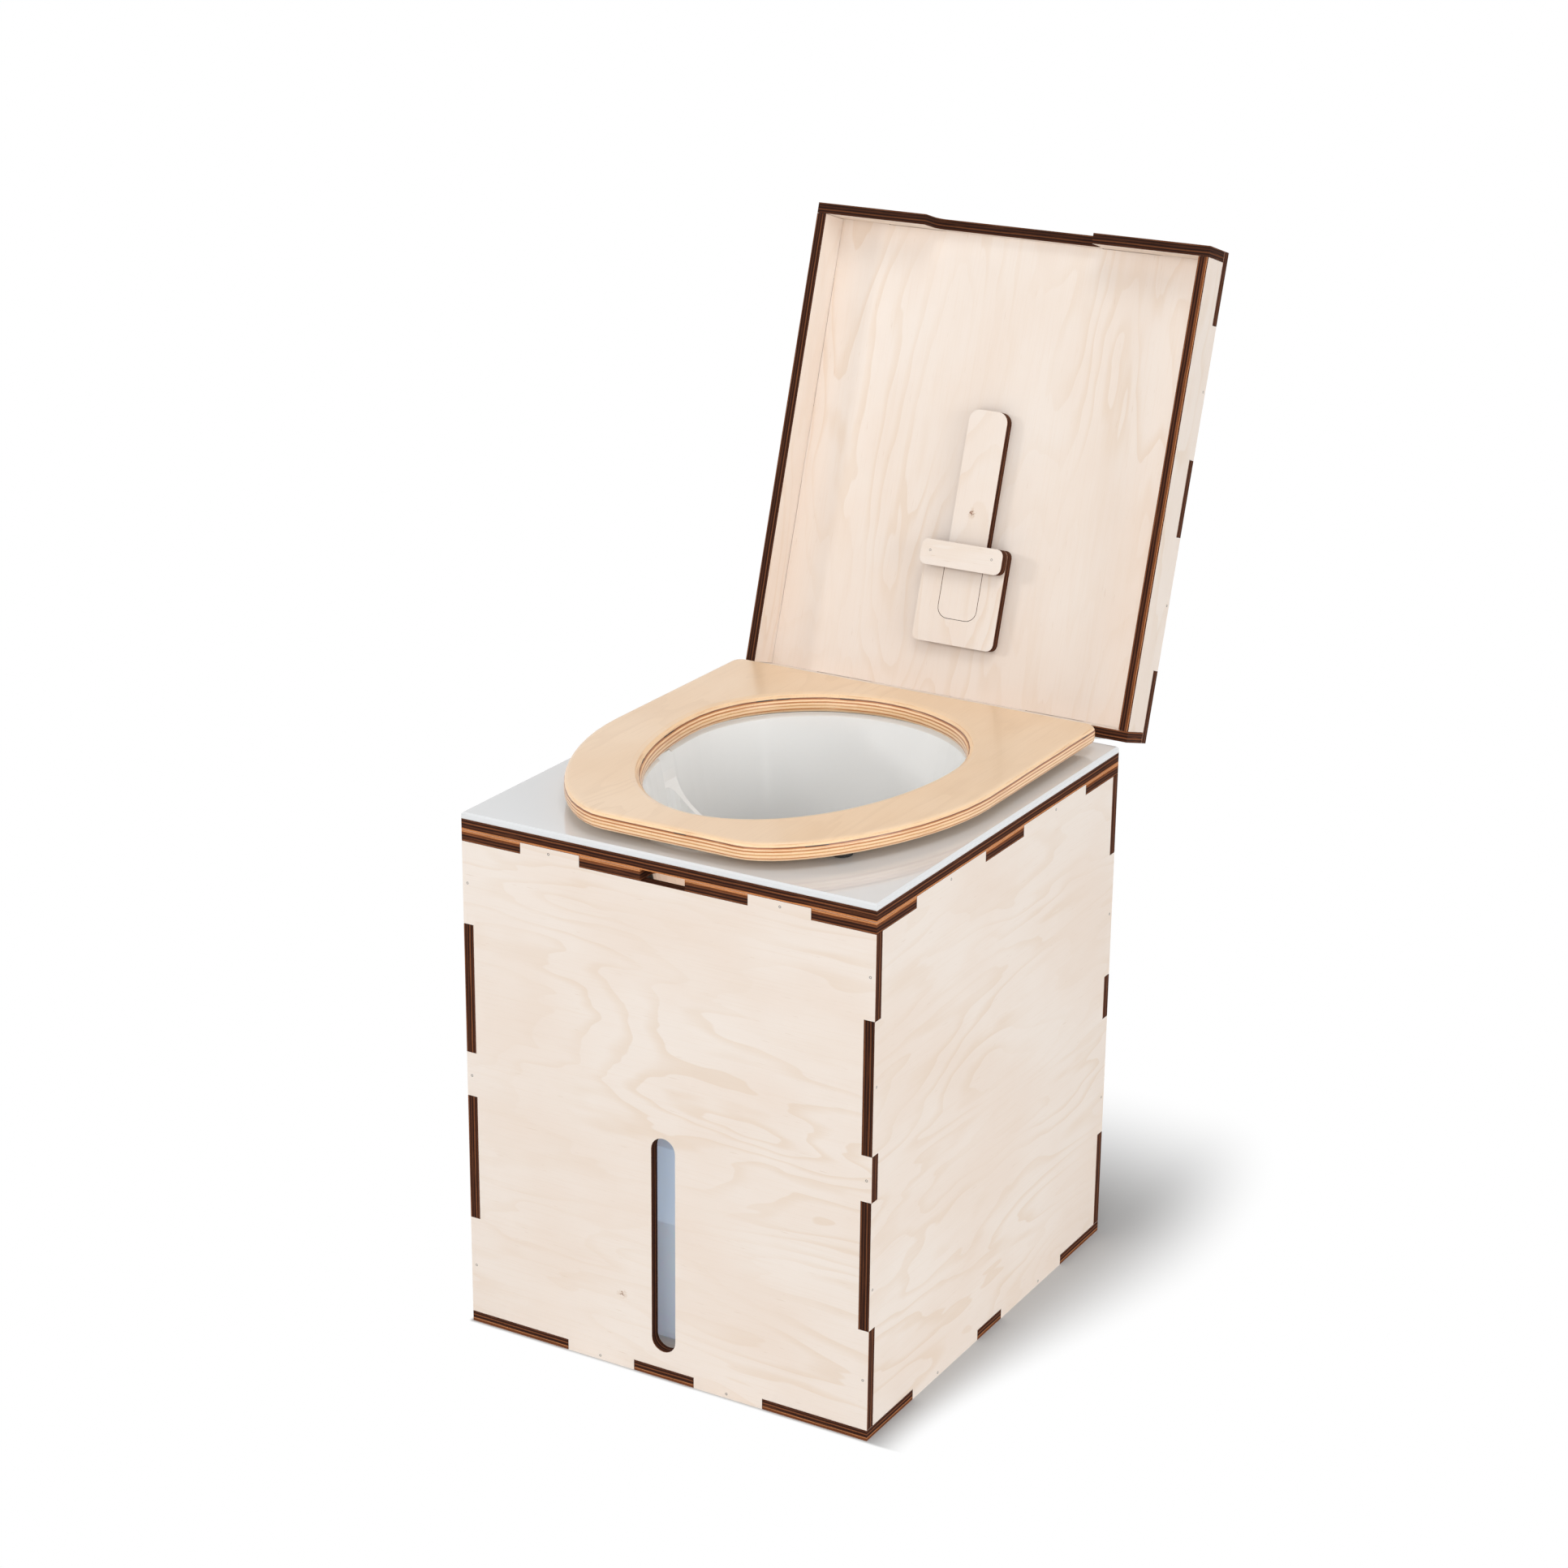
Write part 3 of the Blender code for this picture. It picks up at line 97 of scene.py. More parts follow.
# Nails, and where they sit on the walls
NAIL_RADIUS = 0.0011
NAIL_RISE = 0.00012
NAIL_DISH = 0.00035
NAIL_DEPTH = 0.0010
NAIL_STEPS = 16
NAIL_FOOT_Z = 0.0035
NAIL_TOP_X = (-0.1035, 0.1030)
NAIL_FOOT_X = (-0.0602, 0.0583)
NAIL_CORNER_Z = (0.0520, 0.2216, 0.3870)
NAIL_SIDE_Y = (-0.0900, 0.0900)
NAIL_SIDE_Z = (0.1290, 0.2980)
BRIDGE_NAIL_X = (-0.030, 0.029)
BRIDGE_NAIL_FROM_BACK = 0.131

# How far each nail or screw is turned from the one before it
CASE_NAIL_TURN = 0.7
LID_NAIL_TURN = 0.9
SCREW_TURN = 0.6

# Edges that turn by less than this are shaded smooth
SMOOTH_ANGLE = 38

# Blank label on the canister's front, where the photo has a print
LABEL_HALF_WIDTH = 0.046
LABEL_LOW = 0.116
LABEL_HIGH = 0.182
LABEL_CORNER = 0.005
LABEL_CORNER_STEPS = 6
LABEL_THICKNESS = 0.00012

# Softboxes: name, angle round from the front, angle up, length of a side, watts
SOFTBOXES = (
    ("left_softbox", -60.0, 20.0, 0.4, 16.0),
    ("key_softbox", -16.0, 34.0, 1.6, 13.5),
    ("front_softbox", 14.0, 15.0, 2.0, 24.0),
    ("right_softbox", 84.0, 12.0, 1.8, 37.0),
    ("top_softbox", 40.0, 70.0, 1.5, 22.5),
)
LIGHT_DISTANCE = 3.2
LIGHT_TARGET = Vector((0.0, 0.0, 0.40))
WORLD_LIGHT = 0.36

# The floor: its tone for the light that it throws back, a darker tone for the camera that paints shade near
# the case over its real shadow, and its own faint light
WHITE = (1.0, 1.0, 1.0, 1.0)
FLOOR_BOUNCE = (0.80, 0.80, 0.80, 1.0)
FLOOR_PAINTED_SHADE = (0.50, 0.50, 0.50, 1.0)
FLOOR_LIFT = 0.035
FLOOR_REACH = 30.0

# How far the floor's shadow, deepened by painted shade, reaches from each side of the case before it has
# faded to white
SHADOW_RIGHT_NEAR = 0.035
SHADOW_LEFT_NEAR = 0.004
SHADOW_FAR = 0.120
SHADOW_BACK = 0.290
SHADOW_FRONT = 0.004


# Colours

def linear(red, green, blue):
    """Scene-linear colour from 0 to 255 display values."""
    def one(value):
        share = value / 255
        return share / 12.92 if share <= 0.04045 else ((share + 0.055) / 1.055) ** 2.4
    return one(red), one(green), one(blue), 1.0


BIRCH = linear(240, 225, 212)
BIRCH_LIGHT = linear(243, 232, 222)
BIRCH_LINE = linear(229, 206, 182)
BIRCH_PORE = linear(206, 178, 150)
SEAT_BIRCH = linear(246, 211, 172)
SEAT_BIRCH_LIGHT = linear(251, 220, 185)
SEAT_BIRCH_LINE = linear(212, 172, 130)
SEAT_CREAM = linear(252, 214, 170)
SEAT_TAN = linear(214, 156, 98)
SEAT_ORANGE = linear(196, 126, 68)
SEAT_BROWN = linear(118, 62, 30)
CHAR = linear(24, 10, 5)
CHAR_DARK = linear(46, 20, 9)
CHAR_BROWN = linear(84, 45, 26)
CHAR_RED = linear(128, 76, 46)
GLOW_BROWN = linear(140, 78, 40)
GLOW_ORANGE = linear(206, 134, 82)
GLOW_PEACH = linear(236, 170, 118)
PLATE_WHITE = linear(226, 227, 228)
PLATE_SHADE = linear(228, 231, 233)
INSERT_WHITE = linear(251, 251, 249)
INSERT_SHADE = linear(246, 247, 246)
# Colour of the painted glow on the outside of the insert's bowl front wall
INSERT_PAINTED_GLOW = linear(226, 196, 172)
# Colour of the painted glow on the canister and its label film
MILKY_PAINTED_GLOW = linear(190, 208, 232)

# Veneer of the boards and of the seat: its light, base, contour line and pore tones
BIRCH_TONES = (BIRCH_LIGHT, BIRCH, BIRCH_LINE, BIRCH_PORE)
SEAT_TONES = (SEAT_BIRCH_LIGHT, SEAT_BIRCH, SEAT_BIRCH_LINE, SEAT_BIRCH_LINE)

# Veneer figure: how many contour lines the slow noise is cut into, and how strong they are
CONTOUR_LINES = 17.0
BOARD_FIGURE = 1.0
SEAT_FIGURE = 0.40

# Boards: cosine that parts their faces from their edges, their roughness and their sheen
FACE_COSINE = 0.7
EDGE_ROUGHNESS = 0.90
FACE_ROUGHNESS = 0.56
BOARD_SHEEN = 0.18

# Charred plies of a board's edge, from its lower to its upper face
CHARRED_PLIES = (CHAR_RED, CHAR_DARK, CHAR_BROWN, CHAR_DARK, CHAR_RED, CHAR_DARK, CHAR_BROWN)
PLY_COUNT = len(CHARRED_PLIES)

# Glow range of boards whose edges are charred all through
NO_GLOW = (1.0, 0.0)

# How much darker than the rest the soot makes some edges
SOOT_SHARES = {"lid_front_wall": 0.40, "lid_left_wall": 0.20, "right_panel": 0.25}

# Small knots, and where they lie with the lid open
KNOTS = {"front_panel": (-0.039, -0.207, 0.065), "holder_tongue": (-0.001, 0.292, 0.598)}
KNOT_LENGTH = 0.0060
KNOT_WIDTH = 0.0034

# Plies of the seat's edge from its underside up: the share at which each ends, and its colour
SEAT_PLIES = (
    (0.06, SEAT_TAN), (0.17, SEAT_CREAM), (0.24, SEAT_ORANGE), (0.36, SEAT_CREAM),
    (0.43, SEAT_TAN), (0.53, SEAT_CREAM), (0.61, SEAT_ORANGE), (0.69, SEAT_CREAM),
    (0.74, SEAT_ORANGE), (0.80, SEAT_BROWN), (0.93, SEAT_CREAM),
)
SEAT_VOIDS = (0.735, 0.800)
SEAT_BLEND = 0.009
SEAT_FACE_SEED = 4.0
SEAT_EDGE_SEED = 2.0

# The insert: how far its tub wall leans, and where a painted glow, in place of daylight through the
# plastic, lights the bowl's front wall
TUB_SLOPE = 0.19
BOWL_FRONT = (0.060, 0.075)
BOWL_TOP = (0.432, 0.426)
BOWL_PAINTED_GLOW = 0.70

# Range that most values of a noise lie in
NOISE_LOW = 0.3
NOISE_HIGH = 0.7

# Sockets of a mix node: its two inputs and its output
MIX_SOCKETS = {"RGBA": (6, 7, 2), "VECTOR": (4, 5, 1)}


# Node graph helpers

class Graph:
    """Adds nodes to a tree; sockets are passed from call to call."""

    def __init__(self, tree):
        self.tree = tree

    def add(self, kind, **settings):
        made = self.tree.nodes.new(kind)
        for key, value in settings.items():
            setattr(made, key, value)
        return made

    def feed(self, socket, value):
        """Link a socket, or set it where the value is plain."""
        if isinstance(value, bpy.types.NodeSocket):
            self.tree.links.new(value, socket)
        else:
            socket.default_value = value

    def place(self):
        """Where the shaded point lies on its object."""
        return self.add("ShaderNodeTexCoord").outputs["Object"]

    def surface(self):
        """Which way the object's surface faces there."""
        return self.add("ShaderNodeTexCoord").outputs["Normal"]

    def math(self, operation, first, second=0.0, clamp=False):
        made = self.add("ShaderNodeMath", operation=operation, use_clamp=clamp)
        self.feed(made.inputs[0], first)
        self.feed(made.inputs[1], second)
        return made.outputs[0]

    def vector(self, operation, first, second=(0.0, 0.0, 0.0), output="Vector"):
        made = self.add("ShaderNodeVectorMath", operation=operation)
        self.feed(made.inputs[0], first)
        self.feed(made.inputs[1], second)
        return made.outputs[output]

    def dot(self, first, second):
        return self.vector("DOT_PRODUCT", first, second, "Value")

    def length(self, vector):
        return self.vector("LENGTH", vector, output="Value")

    def combine(self, x, y, z):
        made = self.add("ShaderNodeCombineXYZ")
        for socket, value in zip(made.inputs, (x, y, z)):
            self.feed(socket, value)
        return made.outputs[0]

    def stretch(self, vector, scale, shift=(0.0, 0.0, 0.0)):
        made = self.add("ShaderNodeMapping")
        self.feed(made.inputs["Vector"], vector)
        made.inputs["Scale"].default_value = scale
        made.inputs["Location"].default_value = shift
        return made.outputs[0]

    def noise(self, vector, scale, detail=2.0, roughness=0.5, distortion=0.0):
        made = self.add("ShaderNodeTexNoise")
        self.feed(made.inputs["Vector"], vector)
        made.inputs["Scale"].default_value = scale
        made.inputs["Detail"].default_value = detail
        made.inputs["Roughness"].default_value = roughness
        made.inputs["Distortion"].default_value = distortion
        return made.outputs[0]

    def remap(self, value, low, high, to_low=0.0, to_high=1.0):
        """A smooth step from to_low to to_high while the value goes from low to high."""
        made = self.add("ShaderNodeMapRange", interpolation_type="SMOOTHSTEP")
        self.feed(made.inputs[0], value)
        for socket, number in zip(made.inputs[1:5], (low, high, to_low, to_high)):
            socket.default_value = number
        return made.outputs[0]

    def spread(self, noise, to_low=0.0, to_high=1.0):
        """A noise drawn out to the given limits."""
        return self.remap(noise, NOISE_LOW, NOISE_HIGH, to_low, to_high)

    def mix(self, share, first, second, kind="RGBA"):
        made = self.add("ShaderNodeMix", data_type=kind)
        first_socket, second_socket, output = MIX_SOCKETS[kind]
        self.feed(made.inputs[0], share)
        self.feed(made.inputs[first_socket], first)
        self.feed(made.inputs[second_socket], second)
        return made.outputs[output]

    def ramp(self, value, stops):
        made = self.add("ShaderNodeValToRGB")
        self.feed(made.inputs[0], value)
        band = made.color_ramp
        band.elements[0].position, band.elements[0].color = stops[0]
        band.elements[1].position, band.elements[1].color = stops[-1]
        for place, color in stops[1:-1]:
            band.elements.new(place).color = color
        return made.outputs[0]


class MaterialGraph(Graph):
    """The nodes of one new material, led into its own shader."""

    def __init__(self, name):
        self.material = bpy.data.materials.new(name)
        self.material.use_nodes = True
        super().__init__(self.material.node_tree)
        self.shader = self.tree.nodes["Principled BSDF"]
        self.output = self.tree.nodes["Material Output"]

    def bump(self, height, strength, distance, normal=None):
        made = self.add("ShaderNodeBump")
        if normal:
            self.feed(made.inputs["Normal"], normal)
        made.inputs["Strength"].default_value = strength
        made.inputs["Distance"].default_value = distance
        self.feed(made.inputs["Height"], height)
        self.feed(self.shader.inputs["Normal"], made.outputs[0])

    def finish(self, **values):
        """Set or link the shader's own sockets by name, with _ for a space."""
        for key, value in values.items():
            self.feed(self.shader.inputs[key.replace("_", " ")], value)
        return self.material


# Plywood

def across_grain(normal, grain):
    return Vector(normal).cross(Vector(grain))


def board_axes(graph, normal, grain, origin):
    """Coordinates of a board: along the grain, across it, and up from its lower face."""
    place = graph.place()
    u = graph.dot(place, Vector(grain))
    v = graph.dot(place, across_grain(normal, grain))
    start = Vector(origin).dot(Vector(normal))
    depth = graph.math("SUBTRACT", graph.dot(place, Vector(normal)), start)
    return u, v, depth


def face_share(graph, normal):
    """One on a board's two faces, zero on its edges."""
    facing = graph.math("ABSOLUTE", graph.dot(graph.surface(), Vector(normal)))
    return graph.math("GREATER_THAN", facing, FACE_COSINE)


def veneer(graph, u, v, seed, figure, tones):
    """Rotary-cut birch: thin contour lines of a slow noise, fine fibres and short pores."""
    light, base, line, pore = tones
    plane = graph.combine(u, v, seed)
    slow = graph.noise(
        graph.stretch(plane, (1.0, 4.2, 1.0)), scale=2.4, detail=4.0, roughness=0.40, distortion=0.3)
    phase = graph.math("FRACT", graph.math("MULTIPLY", slow, CONTOUR_LINES))
    lines = graph.math("MULTIPLY", graph.remap(phase, 0.50, 0.94), graph.remap(phase, 1.0, 0.95))
    patch = graph.noise(graph.stretch(plane, (1.0, 1.6, 1.0), (3.0, 1.0, 0.0)), scale=5.0)
    strength = graph.remap(patch, 0.38, 0.66, to_low=0.08 * figure, to_high=0.42 * figure)
    mottle = graph.noise(graph.stretch(plane, (1.0, 1.7, 1.0), (7.0, 2.0, 0.0)), scale=7.0, detail=3.0)
    ground = graph.mix(graph.spread(mottle), base, light)
    fibre = graph.noise(graph.stretch(plane, (18.0, 700.0, 1.0)), scale=1.0, roughness=0.6)
    ground = graph.mix(graph.remap(fibre, 0.45, 0.80, to_high=0.13), ground, line)
    ground = graph.mix(graph.math("MULTIPLY", strength, lines), ground, line)
    dashes = graph.noise(graph.stretch(plane, (70.0, 1100.0, 1.0), (1.0, 5.0, 0.0)), scale=1.0, detail=1.0)
    ground = graph.mix(graph.remap(dashes, 0.72, 0.84, to_high=0.35), ground, pore)
    return ground, fibre


def add_knot(graph, u, v, knot_u, knot_v, ground):
    """A small knot: a brown core in a faint ring, drawn out along the grain."""
    along = graph.math("DIVIDE", graph.math("SUBTRACT", u, knot_u), KNOT_LENGTH)
    beside = graph.math("DIVIDE", graph.math("SUBTRACT", v, knot_v), KNOT_WIDTH)
    wobble = graph.spread(graph.noise(graph.combine(u, v, 0.0), scale=420.0), to_low=-0.5, to_high=0.5)
    reach = graph.length(graph.combine(along, graph.math("ADD", beside, wobble), 0.0))
    ground = graph.mix(graph.remap(reach, 1.0, 0.5, to_high=0.35), ground, BIRCH_PORE)
    return graph.mix(graph.remap(reach, 0.50, 0.20, to_high=0.75), ground, CHAR_RED)


def charred_edge(graph, u, v, depth, seed, stops, soot):
    """Laser-cut edge: plies and glue lines along the sheet, with soot streaks and specks."""
    wander = graph.noise(graph.combine(u, v, seed), scale=22.0)
    share = graph.math("DIVIDE", depth, PLY)
    moved = graph.math("ADD", share, graph.spread(wander, to_low=-0.022, to_high=0.022))
    color = graph.ramp(moved, stops)
    along = graph.combine(u, v, graph.math("MULTIPLY", depth, 45.0))
    streak = graph.noise(along, scale=26.0, detail=3.0, roughness=0.6)
    color = graph.mix(graph.remap(streak, 0.50, 0.72, to_high=0.50), color, CHAR)
    color = graph.mix(graph.remap(streak, 0.45, 0.26, to_high=0.55), color, CHAR_RED)
    speck = graph.noise(graph.combine(u, v, depth), scale=750.0, roughness=0.7)
    color = graph.mix(graph.remap(speck, 0.50, 0.75, to_high=0.35), color, CHAR)
    return graph.mix(soot, color, CHAR), speck


def ply_stops(glow_from, glow_to):
    """Colour stops of a board's plies with a glue line between each two; those in the glow stay orange."""
    stops = []
    for index, charred in enumerate(CHARRED_PLIES):
        low, high = index / PLY_COUNT, (index + 1) / PLY_COUNT
        odd = index % 2 == 1
        if glow_from <= (index + 0.5) / PLY_COUNT <= glow_to:
            body = GLOW_BROWN if odd else GLOW_ORANGE
            line = GLOW_PEACH if odd else GLOW_BROWN
        else:
            body = charred
            line = CHAR_BROWN if odd else CHAR
        stops.append((low + 0.025, body))
        stops.append((high - 0.035, body))
        if index < PLY_COUNT - 1:
            stops.append((high, line))
    return stops


def plywood(node, normal, grain, origin, seed, glow):
    """A board of its own: veneer on its faces, charred plies on its edges."""
    graph = MaterialGraph("ply_" + node)
    u, v, depth = board_axes(graph, normal, grain, origin)
    is_face = face_share(graph, normal)
    face, fibre = veneer(graph, u, v, seed, BOARD_FIGURE, BIRCH_TONES)
    if node in KNOTS:
        knot = Vector(KNOTS[node])
        knot_u, knot_v = knot.dot(Vector(grain)), knot.dot(across_grain(normal, grain))
        face = add_knot(graph, u, v, knot_u, knot_v, face)
    edge, speck = charred_edge(graph, u, v, depth, seed, ply_stops(*glow), SOOT_SHARES.get(node, 0.0))
    height = graph.math("MULTIPLY", graph.math("ADD", fibre, speck), 0.5)
    graph.bump(height, strength=0.25, distance=0.0003)
    smoother = graph.math("MULTIPLY", is_face, EDGE_ROUGHNESS - FACE_ROUGHNESS)
    return graph.finish(
        Base_Color=graph.mix(is_face, edge, face),
        Roughness=graph.math("SUBTRACT", EDGE_ROUGHNESS, smoother),
        Specular_IOR_Level=BOARD_SHEEN)


def seat_stops():
    """Colour stops of the seat's plies, each blended into the next."""
    stops = [(0.0, SEAT_PLIES[0][1])]
    for (end, body), (_, above) in zip(SEAT_PLIES, SEAT_PLIES[1:]):
        stops.append((end - SEAT_BLEND, body))
        stops.append((end + SEAT_BLEND, above))
    return stops


def seat_edge(graph, u, v, depth, share):
    """Clean plies with darker and lighter streaks, pores, and small voids in one ply."""
    plane = graph.combine(u, v, SEAT_EDGE_SEED)
    wander = graph.noise(plane, scale=16.0)
    moved = graph.math("ADD", share, graph.spread(wander, to_low=-0.012, to_high=0.012))
    color = graph.ramp(moved, seat_stops())
    along = graph.combine(u, v, graph.math("MULTIPLY", depth, 30.0))
    streak = graph.noise(along, scale=30.0, detail=3.0, roughness=0.6)
    color = graph.mix(graph.remap(streak, 0.50, 0.70, to_high=0.45), color, SEAT_ORANGE)
    color = graph.mix(graph.remap(streak, 0.44, 0.28, to_high=0.45), color, SEAT_CREAM)
    pores = graph.noise(graph.combine(u, v, depth), scale=900.0)
    color = graph.mix(graph.remap(pores, 0.55, 0.80, to_high=0.25), color, SEAT_BROWN)
    low_void, high_void = SEAT_VOIDS
    above_low = graph.remap(share, low_void, low_void + SEAT_BLEND)
    below_high = graph.remap(share, high_void, high_void - SEAT_BLEND)
    holes = graph.remap(graph.noise(plane, scale=32.0, detail=1.0), 0.62, 0.64)
    core = graph.math("MULTIPLY", above_low, below_high)
    return graph.mix(graph.math("MULTIPLY", holes, core), color, CHAR)


def seat_wood(low):
    """Lacquered seat: every ply shows where the rounding cuts through it."""
    graph = MaterialGraph("seat_wood")
    u, v, depth = board_axes(graph, (0, 0, 1), (0, 1, 0), (0, 0, low))
    share = graph.math("DIVIDE", depth, SEAT_PLY)
    face, fibre = veneer(graph, u, v, SEAT_FACE_SEED, SEAT_FIGURE, SEAT_TONES)
    edge = seat_edge(graph, u, v, depth, share)
    top = graph.remap(share, 0.925, 0.935)
    underside = graph.remap(share, 0.075, 0.065)
    skin = graph.math("ADD", top, underside, clamp=True)
    graph.bump(fibre, strength=0.06, distance=0.0002)
    return graph.finish(
        Base_Color=graph.mix(skin, edge, face), Roughness=0.36, Coat_Weight=0.4, Coat_Roughness=0.14)


# Other materials

def plate_white():
    """Glossy white board, a little uneven in tone and polish."""
    graph = MaterialGraph("plate_white")
    place = graph.place()
    shade = graph.spread(graph.noise(place, scale=5.0), to_high=0.5)
    dust = graph.noise(place, scale=420.0, detail=3.0)
    graph.bump(graph.noise(place, scale=38.0), strength=0.05, distance=0.0006)
    return graph.finish(
        Base_Color=graph.mix(shade, PLATE_WHITE, PLATE_SHADE),
        Roughness=graph.remap(dust, 0.3, 0.75, to_low=0.07, to_high=0.14),
        Coat_Weight=0.8, Coat_Roughness=0.05)


def egg_wall_normal(graph, place):
    """The normal of the insert's egg-shaped tub wall, worked out so that the wall shades without facets."""
    low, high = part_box("separator_insert")
    half_width = (high[0] - low[0]) / 2
    center = high[1] - half_width
    front_reach = center - low[1]
    x = graph.dot(place, (1, 0, 0))
    y = graph.math("SUBTRACT", graph.dot(place, (0, 1, 0)), center)
    back = graph.math("GREATER_THAN", y, 0.0)
    reach = graph.math("ADD", graph.math("MULTIPLY", back, half_width - front_reach), front_reach)
    steep = graph.math("DIVIDE", half_width, reach)
    pull = graph.math("MULTIPLY", graph.math("MULTIPLY", steep, steep), y)
    flat = graph.combine(graph.math("MULTIPLY", x, -1.0), graph.math("MULTIPLY", pull, -1.0), 0.0)
    leaning = graph.vector("ADD", graph.vector("NORMALIZE", flat), (0.0, 0.0, TUB_SLOPE))
    turned = graph.add(
        "ShaderNodeVectorTransform", vector_type="NORMAL", convert_from="OBJECT", convert_to="WORLD")
    graph.feed(turned.inputs[0], leaning)
    return graph.vector("NORMALIZE", turned.outputs[0])


def bowl_painted_glow(graph, place):
    """How strong the painted glow is at a place: on the outside of the bowl's front wall alone."""
    outward = graph.remap(graph.dot(graph.surface(), (0, -1, 0)), 0.2, 0.6)
    ahead = graph.remap(graph.dot(place, (0, -1, 0)), *BOWL_FRONT)
    below = graph.remap(graph.dot(place, (0, 0, 1)), *BOWL_TOP)
    share = graph.math("MULTIPLY", graph.math("MULTIPLY", outward, ahead), below)
    return graph.math("MULTIPLY", share, BOWL_PAINTED_GLOW)


def insert_white():
    """Glossy white plastic, with a painted glow on the outside of the bowl's front wall in place of
    daylight coming through it.
    """
    graph = MaterialGraph("insert_white")
    place = graph.place()
    shade = graph.spread(graph.noise(place, scale=5.0), to_high=0.5)
    dust = graph.noise(place, scale=420.0, detail=3.0)
    wall = egg_wall_normal(graph, place)
    facet = graph.add("ShaderNodeNewGeometry").outputs["Normal"]
    on_wall = graph.remap(graph.dot(wall, facet), 0.93, 0.98)
    normal = graph.mix(on_wall, facet, wall, "VECTOR")
    graph.bump(graph.noise(place, scale=24.0), strength=0.04, distance=0.0006, normal=normal)
    # The emission is a painted glow on the bowl's front wall, not a lamp
    return graph.finish(
        Base_Color=graph.mix(shade, INSERT_WHITE, INSERT_SHADE),
        Roughness=graph.remap(dust, 0.3, 0.75, to_low=0.05, to_high=0.10),
        Coat_Weight=0.6, Coat_Roughness=0.04,
        Emission_Color=INSERT_PAINTED_GLOW, Emission_Strength=bowl_painted_glow(graph, place))


def milky_plastic(name, dark, light, through):
    """Translucent plastic; its emission, of the strength given as through, is a painted glow standing in
    for light coming through it from inside the case.
    """
    graph = MaterialGraph(name)
    place = graph.place()
    cloud = graph.noise(graph.stretch(place, (1.0, 1.0, 0.35)), scale=16.0, detail=3.0)
    graph.bump(graph.noise(place, scale=900.0), strength=0.12, distance=0.0002)
    graph.shader.subsurface_method = "RANDOM_WALK"
    return graph.finish(
        Base_Color=graph.mix(graph.spread(cloud), dark, light), Roughness=0.34,
        Subsurface_Weight=0.35, Subsurface_Scale=0.02,
        Emission_Color=MILKY_PAINTED_GLOW, Emission_Strength=through)


def moulded_plastic(name, first, second, roughness):
    """Matt plastic or rubber with a fine grain."""
    graph = MaterialGraph(name)
    place = graph.place()
    cloud = graph.noise(place, scale=11.0, detail=3.0)
    grain = graph.noise(place, scale=1300.0)
    graph.bump(grain, strength=0.18, distance=0.0002)
    rough = graph.spread(grain, to_low=roughness - 0.05, to_high=roughness + 0.08)
    return graph.finish(Base_Color=graph.mix(cloud, first, second), Roughness=rough)


def plated_steel(name, first, second, roughness):
    """Bare metal with clouded plating and fine brush marks."""
    graph = MaterialGraph(name)
    place = graph.place()
    cloud = graph.noise(place, scale=120.0, detail=3.0)
    brushed = graph.noise(graph.stretch(place, (40.0, 1.0, 900.0)), scale=3.0, detail=3.0)
    graph.bump(brushed, strength=0.08, distance=0.0001)
    rough = graph.spread(brushed, to_low=roughness - 0.06, to_high=roughness + 0.12)
    return graph.finish(
        Base_Color=graph.mix(graph.spread(cloud), first, second), Metallic=1.0, Roughness=rough)


# Mesh helpers

def add_piece(name, bm, material, body):
    """Make an object from a bmesh and let it ride on a body."""
    bmesh.ops.recalc_face_normals(bm, faces=bm.faces)
    mesh = bpy.data.meshes.new(name)
    bm.to_mesh(mesh)
    bm.free()
    mesh.shade_smooth()
    mesh.set_sharp_from_angle(angle=math.radians(SMOOTH_ANGLE))
    mesh.materials.append(material)
    piece = bpy.data.objects.new(name, mesh)
    bpy.context.collection.objects.link(piece)
    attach(piece, body)


def basis(direction):
    """Two unit vectors square to a direction."""
    along = Vector(direction).normalized()
    side = Vector((1.0, 0.0, 0.0)) if abs(along.x) < 0.9 else Vector((0.0, 1.0, 0.0))
    other = along.cross(side).normalized()
    return other.cross(along).normalized(), other


def cross_drop(turn, reach):
    """Depth of a screw's cross recess at a turn from one of its arms and a share of its radius."""
    beside = abs(math.sin(2 * turn))
    return CROSS_DEPTH * max(0.0, 1.0 - CROSS_SLIMNESS * beside * min(reach * CROSS_PARTING, 1.0))


def add_disc(bm, place, direction, rings, steps, tilt, has_cross=False):
    """Closed turned form from (radius, height) rings; a cross recess goes into the inner rings."""
    side, other = basis(direction)
    along = Vector(direction).normalized()
    first_cross = len(rings) - CROSS_RINGS
    loops = []
    for index, (radius, height) in enumerate(rings):
        loop = []
        for step in range(steps):
            angle = 2 * math.pi * step / steps + tilt
            drop = 0.0
            if has_cross and index >= first_cross:
                drop = cross_drop(angle - tilt, radius / rings[first_cross][0])
            offset = side * radius * math.cos(angle) + other * radius * math.sin(angle)
            loop.append(bm.verts.new(Vector(place) + offset + along * (height - drop)))
        loops.append(loop)
    for lower, upper in zip(loops, loops[1:]):
        for step in range(steps):
            after = (step + 1) % steps
            bm.faces.new((lower[step], lower[after], upper[after], upper[step]))
    bm.faces.new(loops[0])
    bm.faces.new(loops[-1])


def add_nail(bm, place, direction, tilt):
    """Brad head set in the ply: a flat rim with a dished middle."""
    rings = (
        (NAIL_RADIUS * 0.8, -NAIL_DEPTH), (NAIL_RADIUS, -NAIL_DEPTH * 0.5), (NAIL_RADIUS, NAIL_RISE * 0.3),
        (NAIL_RADIUS * 0.92, NAIL_RISE), (NAIL_RADIUS * 0.62, NAIL_RISE * 0.6),
        (NAIL_RADIUS * 0.3, NAIL_RISE - NAIL_DISH), (NAIL_RADIUS * 0.08, NAIL_RISE - NAIL_DISH))
    add_disc(bm, place, direction, rings, NAIL_STEPS, tilt)


